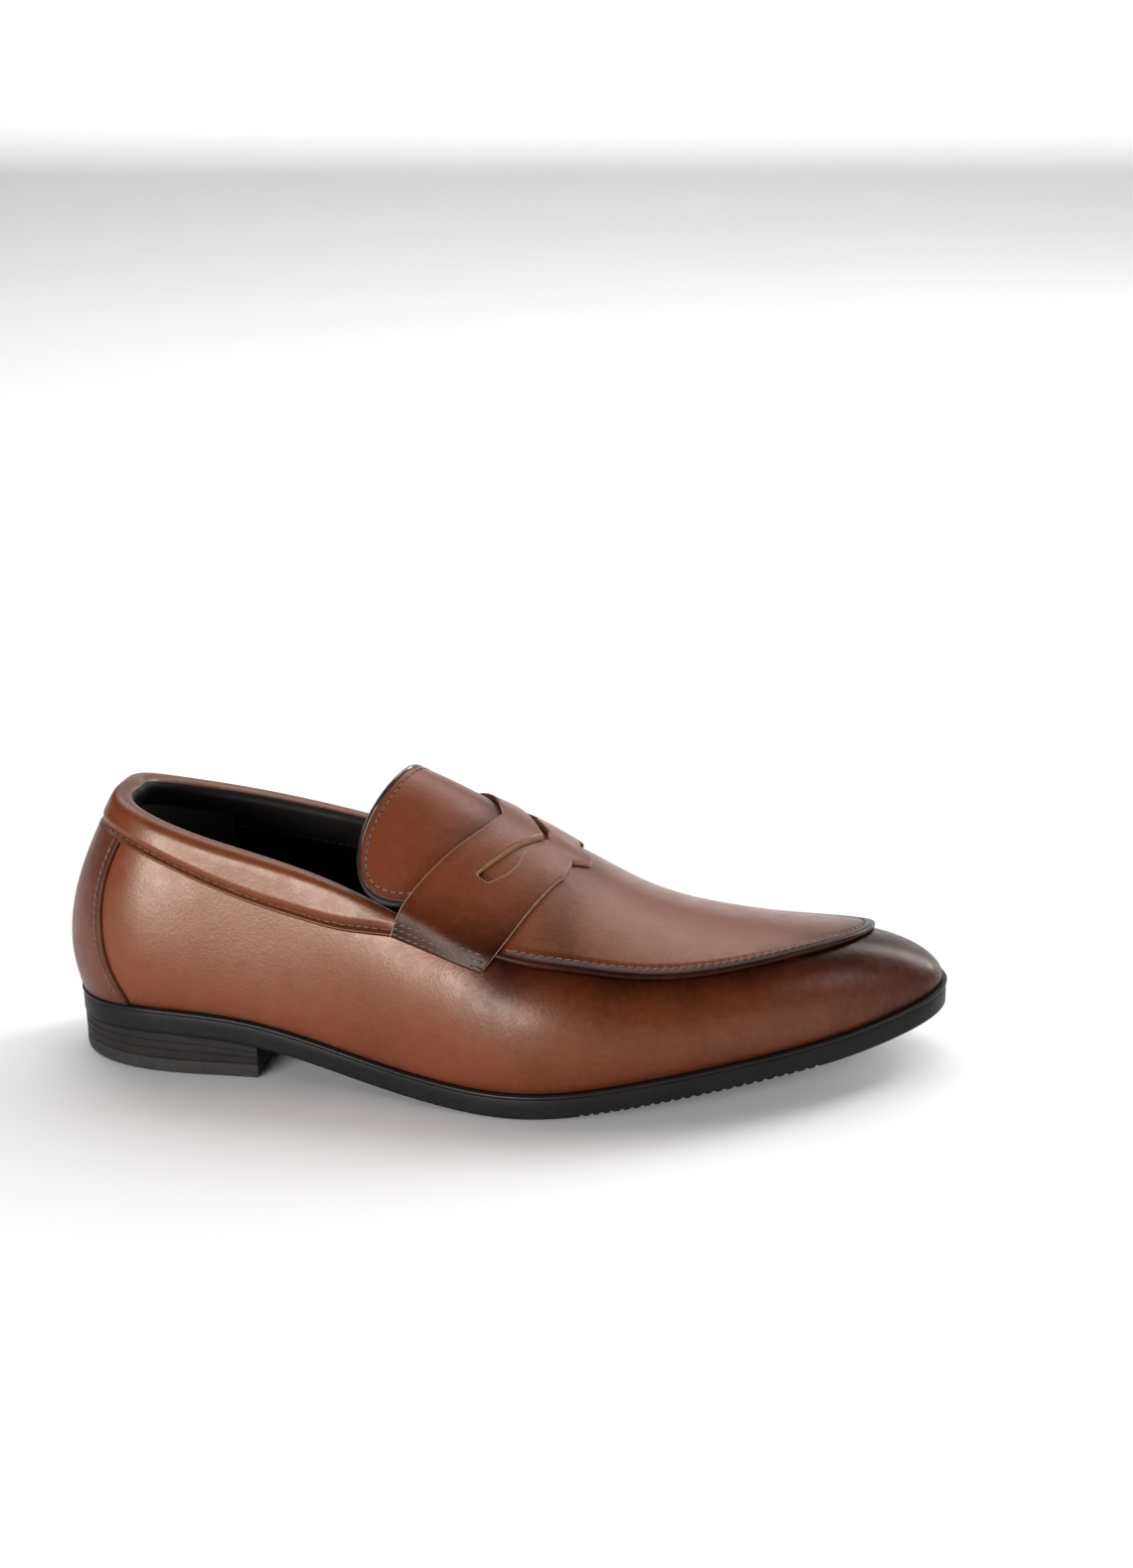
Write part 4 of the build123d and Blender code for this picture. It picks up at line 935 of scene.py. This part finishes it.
def make_tongue():
    rim = tongue_edge()
    share = np.linspace(0, 1, len(rim))
    base_y = rim[0, 1] + 0.6 + (rim[-1, 1] - rim[0, 1] - 1.2) * share
    kernel = hump(np.arange(-20, 21), 0, 9)
    padded = np.pad(strap_rear(base_y) + 5.0, 20, mode="edge")
    base = np.stack([np.convolve(padded, kernel / kernel.sum(), "valid"), base_y], -1)
    reach = np.linalg.norm(base - rim, axis=1)
    toward = unit(base - rim)
    along = unit(np.gradient(rim, axis=0))
    out = np.stack([along[:, 1], -along[:, 0]], -1)
    out = out * np.sign(np.sum(out * -toward, -1, keepdims=True))
    tight = np.array([0.75, 0.9, 1.15, 1.5, 1.9, 2.3, TONGUE_SEAM, 3.1, 3.6, 4.4])
    rest = np.linspace(0, 1, 34)[1:, None]

    def places(steps):
        inside = np.minimum(np.tile(steps, (len(rim), 1)), 0.6 * reach[:, None])
        edge = rim[:, None] - inside[..., None] * out[:, None]
        return np.concatenate([edge, edge[:, -1:] + rest * (base - edge[:, -1])[:, None]], 1)

    plan = places(tight)
    edge = np.concatenate([tight, np.full(len(rest), 6.0)])
    rise = PLUG + 0.05 - 0.35 * np.clip(1 - (edge - 0.75) / 0.8, 0, 1) ** 2
    rise = rise - 0.18 * hump(edge, TONGUE_SEAM, 0.5)
    outer = sheet_point(plan, rise)
    ahead = outer[..., 0] - strap_rear(outer[..., 1])
    # painted shade on the tongue along the strap's rear edge, and darker at the tongue's own edge
    tone = 0.12 + 0.55 * np.exp(-np.maximum(-ahead, 0) / 5.0) + 0.30 * (1 - smooth(edge, 0.8, 2.0))
    obj = shell("tongue_skin", outer, sheet_point(plan, 0.05), [tongue_skin], tone)
    bends(obj, "tongue_leather", "tongue")

    plan = places(np.array([0.75, 1.0, 1.5, 2.5, 4.0]))
    obj = shell("tongue_lining_skin", sheet_point(plan), sheet_point(plan, -LINING - 0.15), [black_lining])
    bends(obj, "lining_leather", "tongue_lining")

    ring = np.array([(0.95, 0.1), (0.85, 1.5), (0.95, PLUG + 0.05), (0.55, PLUG + 0.28), (0.0, PLUG + 0.12),
                     (-0.32, PLUG - 0.5), (-0.38, 0.5), (-0.25, -0.4), (0.15, -LINING - 0.25),
                     (0.7, -LINING - 0.35), (1.0, -LINING - 0.15)])
    spots = rim[:, None] - ring[:, 0][None, :, None] * out[:, None]
    anchor_plan = rim - 0.4 * out
    anchor = sheet_point(anchor_plan)
    normal = sheet_normal(*anchor_plan.T)
    flat = spots - anchor_plan[:, None]
    slope = -(flat * normal[:, None, :2]).sum(-1) / normal[:, None, 2]
    sections = anchor[:, None] + np.concatenate([flat, slope[..., None]], -1)
    sections = sections + ring[:, 1][None, :, None] * normal[:, None]
    obj = tube("tongue_edge_paint", sections, [edge_paint])
    bends(obj, "edge_binding", "tongue_binding")

    places = rim - TONGUE_SEAM * out
    places = places[places[:, 0] < strap_rear(places[:, 1]) + 1]
    seam = (sheet_point(places, PLUG - 0.1), sheet_normal(*places.T))
    bends(stitches("tongue_thread", [seam], brown_thread, pitch=2.7), "thread", "tongue_stitching")


make_tongue()

# ---------------------------------------------------------------- penny strap
# The strap is laid out by turns (degrees) from upright about a hub that runs along the shoe. Its
# edges are x at a turn near the hems, and x at a distance from the middle round the slot and lip.
HUB_Y, HUB_Z = 1.6, 40.0
FAN = [0, 12, 26, 41, 57, 70, 84]
FAN_REAR = cubic(FAN, [0.5, -3.5, -11.2, -19.3, -26.4, -30.7, -35.0])
FAN_FRONT = cubic(FAN, [32.0, 30.5, 24.2, 18.9, 13.3, 7.7, -1.5])
HEM_X, HEM_Z = (-33.5, 4.0), (58.3, 49.2)
HEM_SLOPE = -0.243  # of the hem's line beyond its two ends
HEM_ROWS = (1.5, 3.6, 5.7)  # millimetres from the hem to its rows of stitches
SLOT_END = 27.0  # how far from the strap's middle the slot closes
SLOT_REAR = np.array([
    (14.2, 0.0), (11.4, 4.6), (7.0, 11.0), (2.6, 17.4), (-3.2, 25.2), (-2.4, 26.2), (0.6, SLOT_END),
])
SLOT_FRONT = np.array([
    (17.2, 0.0), (15.2, 2.6), (15.4, 4.8), (12.8, 8.0), (10.0, 11.6), (8.8, 18.0), (5.6, 22.8),
    (0.6, SLOT_END),
])
LIP_FRONT = np.array([(30.6, 0.0), (30.2, 2.4), (26.6, 5.0), (24.8, 6.6), (25.0, 9.4), (23.6, 15.0)])
HEM_REACH = 75  # millimetres over the strap from the ridge to a hem

TABLE_X = np.linspace(-40, 38, 79)
TABLE_TURN = np.linspace(-100, 100, 401)


def strap_radii():
    """Distance of the strap's underside from the hub, over TABLE_X and TABLE_TURN."""
    table = []
    kernel = hump(np.arange(-12, 13), 0, 6)
    for x in TABLE_X:
        heights = np.linspace(0.15, 0.88, 16)
        shares = [np.array([float(u)]) for u in (lateral(x), medial(x))]
        sides = [wall(u, heights, -COLLAR_LIP - 0.3)[0][:, 1:] for u in shares]
        tops = [wall_top(u)[0, 1] for u in shares]
        across = np.linspace(tops[0] - 1.6, tops[1] + 1.6, 41)
        crown = np.stack([across, sheet(x + 0 * across, across, PLUG + STRAP_LIFT)], -1)
        line = np.concatenate([sides[0], crown, sides[1][::-1]])
        turn = np.degrees(np.arctan2(line[:, 0] - HUB_Y, line[:, 1] - HUB_Z))
        radius = np.interp(TABLE_TURN, turn, np.hypot(line[:, 0] - HUB_Y, line[:, 1] - HUB_Z))
        radius = np.convolve(np.pad(radius, 12, mode="edge"), kernel / kernel.sum(), "valid")
        table.append(radius)
    return np.array(table)


RADII = strap_radii()


def strap_point(turn, x, rise):
    """Point of the strap: turn in degrees from upright about the hub, rise above its underside."""
    turn, x = np.broadcast_arrays(turn, x)
    i = np.clip((x - TABLE_X[0]) / (TABLE_X[1] - TABLE_X[0]), 0, len(TABLE_X) - 1.001)
    j = np.clip((turn - TABLE_TURN[0]) / (TABLE_TURN[1] - TABLE_TURN[0]), 0, len(TABLE_TURN) - 1.001)
    a, b = i.astype(int), j.astype(int)
    s, t = i - a, j - b
    radius = ((1 - s) * (1 - t) * RADII[a, b] + s * (1 - t) * RADII[a + 1, b]
              + (1 - s) * t * RADII[a, b + 1] + s * t * RADII[a + 1, b + 1]) + rise
    lean = np.radians(turn)
    return np.stack([x, HUB_Y + radius * np.sin(lean), HUB_Z + radius * np.cos(lean)], -1)


def hem_height(x):
    return np.interp(x, HEM_X, HEM_Z) + (x - np.clip(x, *HEM_X)) * HEM_SLOPE


def hem_turn(side):
    """Turn at which the strap's outer face meets its hem, over TABLE_X."""
    turns = np.linspace(40, 99, 240)
    found = []
    for x in TABLE_X:
        z = strap_point(side * turns, x + 0 * turns, STRAP)[:, 2]
        found.append(np.interp(-hem_height(x), -z, turns))
    return np.array(found)


HEM_TURN = {side: hem_turn(side) for side in (-1, 1)}


def turn_at(share, x):
    """Turn at the share of the way from the ridge (0) to the outer (-1) or the inner (1) hem."""
    outer, inner = (np.interp(x, TABLE_X, HEM_TURN[side]) for side in (-1, 1))
    return share * np.where(share < 0, outer, inner)


def strap_lines(share):
    """x of the rear edge, both sides of the slot and the front edge at each share."""
    def goal(kind, turn, x):
        away = np.abs(strap_point(turn, x, STRAP)[..., 1] - STRAP_MID_Y)
        if kind == "rear":
            return FAN_REAR(np.abs(turn))
        if kind == "front":
            fan = FAN_FRONT(np.abs(turn))
            return np.where(away < LIP_FRONT[-1, 1], np.minimum(x_on(LIP_FRONT, away), fan), fan)
        slot = SLOT_REAR if kind == "slot_rear" else SLOT_FRONT
        return x_on(slot, away) - 0.30 * np.maximum(away - SLOT_END, 0)

    lines = []
    for kind in ("rear", "slot_rear", "slot_front", "front"):
        x = np.zeros_like(share)
        for _ in range(12):
            x = 0.5 * x + 0.5 * goal(kind, turn_at(share, x), x)
        lines.append(x)
    return lines


def make_strap():
    share = np.concatenate([-np.linspace(1, 0.42, 110)[:-1], np.linspace(-0.42, 0.42, 260),
                            np.linspace(0.42, 1, 110)[1:]])
    rear, slot_rear, slot_front, front = strap_lines(share)
    steps = np.array([0, 0.015, 0.04, 0.08, *np.linspace(0.14, 0.86, 13), 0.92, 0.96, 0.985, 1.0])
    halves = ((rear, slot_rear), (slot_front, front))
    grids = [start[:, None] + (end - start)[:, None] * steps for start, end in halves]
    low = (1 - np.abs(share[:, None])) * HEM_REACH
    points, faces, slots, tones = [], [], [], []
    count = 0
    sealed = slot_front - slot_rear < 0.02
    for x in grids:
        turn = turn_at(share[:, None], x)
        n, m = x.shape
        edge = np.minimum(x - x[:, :1], x[:, -1:] - x)
        outer_edge = np.minimum(x - rear[:, None], front[:, None] - x)
        true_edge = np.where(sealed[:, None], outer_edge, edge)
        rise = STRAP - 0.30 * np.clip(1 - true_edge / 0.5, 0, 1) ** 2 + 0.45 * smooth(outer_edge, 0, 9)
        rise = rise - 0.3 * np.clip(1 - low / 0.5, 0, 1) ** 2
        top = strap_point(turn, x, rise)
        under = strap_point(turn, x, 0 * x)
        index = count + np.arange(n * m).reshape(n, m)
        below = index + n * m
        count += 2 * n * m
        points += [top.reshape(-1, 3), under.reshape(-1, 3)]
        # painted shade down the strap's sides towards its hems and where it turns away from the top; darker
        # along its edges
        tone = (0.06 + 0.95 * np.exp(-low / 15.0) + 0.26 * np.exp(-outer_edge / 3.5)
                + 0.30 * smooth(np.abs(turn), 35, 75))
        tones += [tone.ravel(), tone.ravel()]
        parts = [(grid_faces(index[:, 1:-1]), 0), (grid_faces(below)[:, ::-1], 0)]
        hems = (np.stack([below[0], index[0]], 1), np.stack([index[-1], below[-1]], 1))
        parts += [(grid_faces(hem), 1) for hem in hems]
        open_rows = ~(sealed[:-1] & sealed[1:])
        for column, margin in ((0, index[:, :2]), (m - 1, index[:, -2:])):
            strip = grid_faces(np.stack([below[:, column], index[:, column]], 1))
            skived = grid_faces(margin)
            if (column == 0) == (x is grids[0]):
                parts += [(strip, 1), (skived, 1)]
            else:
                parts += [(strip[open_rows], 1), (skived[open_rows], 1), (skived[~open_rows], 0)]
        for quads, slot_index in parts:
            faces.extend(quads.tolist())
            slots.extend([slot_index] * len(quads))
    obj = mesh_object("strap_skin", np.concatenate(points), faces, [strap_skin, cut_edge], slots,
                      np.concatenate(tones), weld=0.03, sharp=50)
    stands_for(obj, "strap_leather", "strap")

    seams = []
    for side in (-1, 1):
        for rise in HEM_ROWS:
            x = np.linspace(-29.5, 1.5, 60) + 0.12 * rise
            limit = np.interp(x, TABLE_X, HEM_TURN[side])
            turns = np.linspace(0.6, 1.0, 80)
            spots = []
            for place, most in zip(x, limit):
                line = strap_point(side * turns * most, place + 0 * turns, STRAP)
                share_at = np.interp(-(hem_height(place) + rise), -line[:, 2], turns)
                spots.append(side * share_at * most)
            spots = np.array(spots)
            line = strap_point(spots, x, STRAP + 0.22)
            normal = unit(line - strap_point(spots, x, 0.0) + 1e-9)
            seams.append((line, normal))
    obj = stitches("strap_thread", seams, brown_thread, pitch=2.8, sink=0.03)
    stands_for(obj, "thread", "strap_stitching")


make_strap()

# ---------------------------------------------------------------- sole, heel and sock


def slab(name, material, rings, x_from, x_to, step):
    """Layer with the sole's outline: rings of (inset, height(x)) from its underside to its top.

    A blunt front end is a straight line across at x_to; otherwise the layer runs to the toe.
    """
    blunt = x_to < TOE_X
    across = 14
    count = int((x_to - x_from) / step)
    ease = (1 - np.cos(np.linspace(0, np.pi / 2 if blunt else np.pi, count))) / (1 if blunt else 2)
    eased = 0.3 if blunt else 0.35
    spread = eased * ease + (1 - eased) * np.linspace(0, 1, count)
    loops, grids = [], []
    for inset, height in rings:
        line = sole_edge(ROUND_THE_SOLE, inset)
        toe = np.argmax(line[:, 0])
        heel = np.argmin(line[:, 0])
        outer_side = np.roll(line[:-1], -heel, 0)[: (toe - heel) % (len(line) - 1) + 1]
        inner_side = np.roll(line[:-1], -toe, 0)[: (heel - toe) % (len(line) - 1) + 1][::-1]
        last_x = x_to - inset if blunt else outer_side[-1, 0]
        x = outer_side[0, 0] + (last_x - outer_side[0, 0]) * spread
        pair = []
        for side in (outer_side, inner_side):
            run = run_length(side)
            total = np.interp(last_x, side[:, 0], run) if blunt else run[-1]
            mixed = np.sort(np.interp(x, side[:, 0], run) * 0.5 + np.linspace(0, total, count) * 0.5)
            mixed[0], mixed[-1] = 0, total
            pair.append(np.stack([np.interp(mixed, run, side[:, k]) for k in (0, 1)], -1))
        if blunt:
            pair[0][-1, 0] = pair[1][-1, 0] = last_x
        rows = []
        for share in np.linspace(0, 1, across):
            plan = pair[0] * (1 - share) + pair[1] * share
            rows.append(np.concatenate([plan, height(plan[:, 0])[:, None]], 1))
        grid = np.stack(rows, 1)
        loops.append(np.concatenate([grid[:, 0]] + ([grid[-1, 1:-1]] if blunt else []) + [grid[::-1, -1]]))
        grids.append(grid)
    points = np.concatenate([np.concatenate(loops), grids[0].reshape(-1, 3), grids[-1].reshape(-1, 3)])
    index = np.arange(len(rings) * len(loops[0])).reshape(len(rings), -1)
    cap = index.size + np.arange(count * across).reshape(count, across)
    index = np.concatenate([index, index[:, :1]], 1)
    faces = np.concatenate([grid_faces(index), grid_faces(cap), grid_faces(cap + count * across)])
    return mesh_object(name, points, faces.tolist(), [material], weld=0.02, sharp=30)


def over_sole(rise):
    return lambda x: sole_top(np.clip(x, HEEL_X - 5, TOE_X + 5)) + rise


def tread_lift(x):
    """How far the underside is cut up by the cross grooves of the tread."""
    phase = ((x - TREAD_START) / TREAD_PITCH) % 1
    groove = smooth(phase, 0.46, 0.6) * (1 - smooth(phase, 0.86, 1.0))
    return TREAD_DEPTH * groove * (x > TREAD_START) * (x < TREAD_END)


def under_sole(rise):
    def height(x):
        bottom = over_sole(-SOLE_THICK)(x)
        return bottom + np.maximum(rise, tread_lift(x))
    return height


def make_sole():
    rings = [(inset, under_sole(rise)) for inset, rise in (
        (3.2, 0.0), (1.1, 0.02), (0.55, 0.2), (0.32, 0.6), (0.30, 1.6))]
    rings += [(inset, over_sole(-drop)) for inset, drop in (
        (0.30, SOLE_THICK * 0.5), (0.30, RAND_THICK + 0.6),
        (0.42, RAND_THICK + 0.2), (0.75, RAND_THICK + 0.06))]
    obj = slab("outsole_skin", sole_skin, rings, HEEL_X, TOE_X, step=0.42)
    stands_for(obj, "sole_rubber", "outsole")

    u = np.linspace(0, 1, 1200)[:-1]
    ring = [(0.55, -1.45), (0.12, -1.3), (-0.02, -0.95), (0.0, -0.5), (0.2, -0.16), (0.55, -0.02), (1.2, 0.0),
            (3.4, -0.1), (3.4, -1.4)]
    sections = []
    for inset, rise in ring:
        plan = sole_edge(u, inset)
        sections.append(np.concatenate([plan, over_sole(rise)(plan[:, 0])[:, None]], 1))
    obj = tube("rand_skin", np.stack(sections, 1), [rand_skin], closed=True)
    stands_for(obj, "rand_rubber", "sole_rand")

    def level(height):
        return lambda x: np.full_like(x, height)

    rings = [(inset, level(height)) for inset, height in (
        (1.5, 0.0), (0.95, 0.06), (0.68, 0.4), (0.62, 1.2), (0.62, 4.2), (0.70, 4.75), (0.95, 4.96))]
    obj = slab("heel_lift_skin", lift_skin, rings, HEEL_X, BREAST_X, step=0.7)
    stands_for(obj, "lift_rubber", "heel_top_piece")

    def stack(share, offset=0.0):
        base = TOP_PIECE + 0.06
        return lambda x: base + (over_sole(-SOLE_THICK - 0.06)(x) - base) * share + offset

    rings = [(1.0, stack(0.0)), (0.70, stack(0.0, 0.2))]
    for share in (0.38, 0.70):
        groove = ((0.60, -0.25), (0.84, -0.07), (0.84, 0.07), (0.60, 0.25))
        rings += [(inset, stack(share, offset)) for inset, offset in groove]
    rings += [(0.62, stack(1.0, -0.3)), (0.9, stack(1.0, -0.02))]
    obj = slab("heel_stack_skin", stack_skin, rings, HEEL_X, BREAST_X, step=0.7)
    stands_for(obj, "heel_stack", "heel_block")

    def sock(rise):
        def height(x):
            pad = 0.4 + 2.6 * (1 - smooth(x, -105, -70))
            return over_sole(2.2)(x) + (1.2 + pad) * (1 - smooth(x, -72, -60)) + rise
        return height

    rings = [(inset, sock(rise)) for inset, rise in (
        (6.3, 0.0), (6.1, 0.3), (6.15, 0.75), (6.5, 0.98), (7.4, 1.05))]
    obj = slab("sock_skin", sock_skin, rings, HEEL_X, TOE_X, step=0.9)
    stands_for(obj, "sock_leather", "sock_liner")


make_sole()

# ---------------------------------------------------------------- pieces that stay as the CAD made them
CAD_FINISH = {
    "heel_nails": metal("nail_steel", (0.45, 0.44, 0.42), 0.35),
    "shank": metal("shank_steel", (0.50, 0.50, 0.50), 0.3),
    "bottom_filler": fibre("cork", (0.30, 0.17, 0.09), (0.45, 0.28, 0.15), 320.0),
    "insole_board": fibre("fibre_board", (0.36, 0.26, 0.17), (0.48, 0.37, 0.26), 900.0),
    "heel_pad": fibre("foam", (0.55, 0.50, 0.38), (0.70, 0.66, 0.52), 700.0),
    "collar_foam": fibre("collar_foam_cells", (0.50, 0.48, 0.42), (0.66, 0.63, 0.56), 700.0),
    "heel_stiffener": fibre("stiffener_board", (0.30, 0.27, 0.23), (0.40, 0.36, 0.31), 800.0),
    "toe_puff": fibre("toe_puff_board", (0.32, 0.29, 0.25), (0.42, 0.38, 0.33), 800.0),
    "apron_lining": vamp_cloth,
}
for node_name, material in CAD_FINISH.items():
    for material_slot in nodes[node_name].material_slots:
        material_slot.material = material

# ---------------------------------------------------------------- floor, light and camera


def make_floor():
    """Pale floor that turns up into a backdrop far behind the shoe."""
    turn_up = 3.0
    along = np.linspace(-1, 1, 41) * 6
    run = np.concatenate([np.linspace(-5, turn_up, 40), np.linspace(turn_up, 6.0, 40)[1:]])
    lift = np.where(run > turn_up, (run - turn_up) ** 2 * 0.6, 0.0)
    points = np.array([(x, y, z - 0.0002) for x in along for y, z in zip(run, lift)])
    index = np.arange(len(points)).reshape(len(along), len(run))
    data = bpy.data.meshes.new("floor")
    data.from_pydata(points.tolist(), [], grid_faces(index)[:, ::-1].tolist())
    n = Nodes("floor_paper")
    paper = n.noise(6, 3, 0.5)
    data.materials.append(n.done(n.mix(paper, (0.86, 0.86, 0.86), (0.90, 0.90, 0.90)), 0.7))
    data.polygons.foreach_set("use_smooth", np.ones(len(data.polygons), bool))
    floor = bpy.data.objects.new("floor", data)
    bpy.context.scene.collection.objects.link(floor)


def make_light(name, place, aim, size, power):
    lamp = bpy.data.lights.new(name, "AREA")
    lamp.shape = "RECTANGLE"
    lamp.size, lamp.size_y = size
    lamp.energy = power
    obj = bpy.data.objects.new(name, lamp)
    obj.location = place
    obj.rotation_euler = (Vector(aim) - Vector(place)).to_track_quat("-Z", "Y").to_euler()
    bpy.context.scene.collection.objects.link(obj)


def make_world(strength):
    world = bpy.data.worlds.new("studio")
    world.use_nodes = True
    world.node_tree.nodes["Background"].inputs[0].default_value = (1, 1, 1, 1)
    world.node_tree.nodes["Background"].inputs[1].default_value = strength
    bpy.context.scene.world = world


def make_camera():
    """Three-quarter view on the shoe's outer side."""
    azimuth, elevation, roll = (math.radians(angle) for angle in (11.71, 22.18, -1.69))
    distance, target = 0.98401, Vector((0.00215, 0.0019, 0.040))
    back = Vector((math.sin(azimuth) * math.cos(elevation), -math.cos(azimuth) * math.cos(elevation),
                   math.sin(elevation)))
    level = Vector((math.cos(azimuth), math.sin(azimuth), 0))
    right = level * math.cos(roll) + back.cross(level) * math.sin(roll)
    up = back.cross(right)
    camera = bpy.data.cameras.new("camera")
    camera.sensor_width = 36.0
    camera.lens = 66.70
    camera.shift_x, camera.shift_y = 0.0390, 0.1012
    camera.clip_start, camera.clip_end = 0.05, 50
    obj = bpy.data.objects.new("camera", camera)
    turn = Matrix((right, up, back)).transposed()
    obj.matrix_world = Matrix.Translation(target + back * distance) @ turn.to_4x4()
    bpy.context.scene.collection.objects.link(obj)
    bpy.context.scene.camera = obj


bpy.context.scene.view_settings.view_transform = "Standard"
make_floor()
make_world(0.07)
make_light("front_left_softbox", (-0.62, -1.40, 0.26), (-0.05, 0, 0.05), (1.0, 0.48), 32)
make_light("overhead_softbox", (-0.1, 0.75, 1.35), (0, 0.05, 0), (2.2, 1.3), 16)
make_light("toe_softbox", (1.25, -0.35, 0.55), (0.12, 0, 0.03), (0.5, 0.5), 4)
make_light("toe_glint_softbox", (0.95, 0.95, 0.65), (0.12, 0, 0.03), (0.35, 0.9), 13)
make_light("backdrop_light", (0, 1.6, 2.6), (0, 2.6, 0), (4.0, 1.5), 46)
make_light("wall_light", (0, 2.4, 1.5), (0, 5.0, 1.2), (4.5, 1.5), 75)
make_camera()
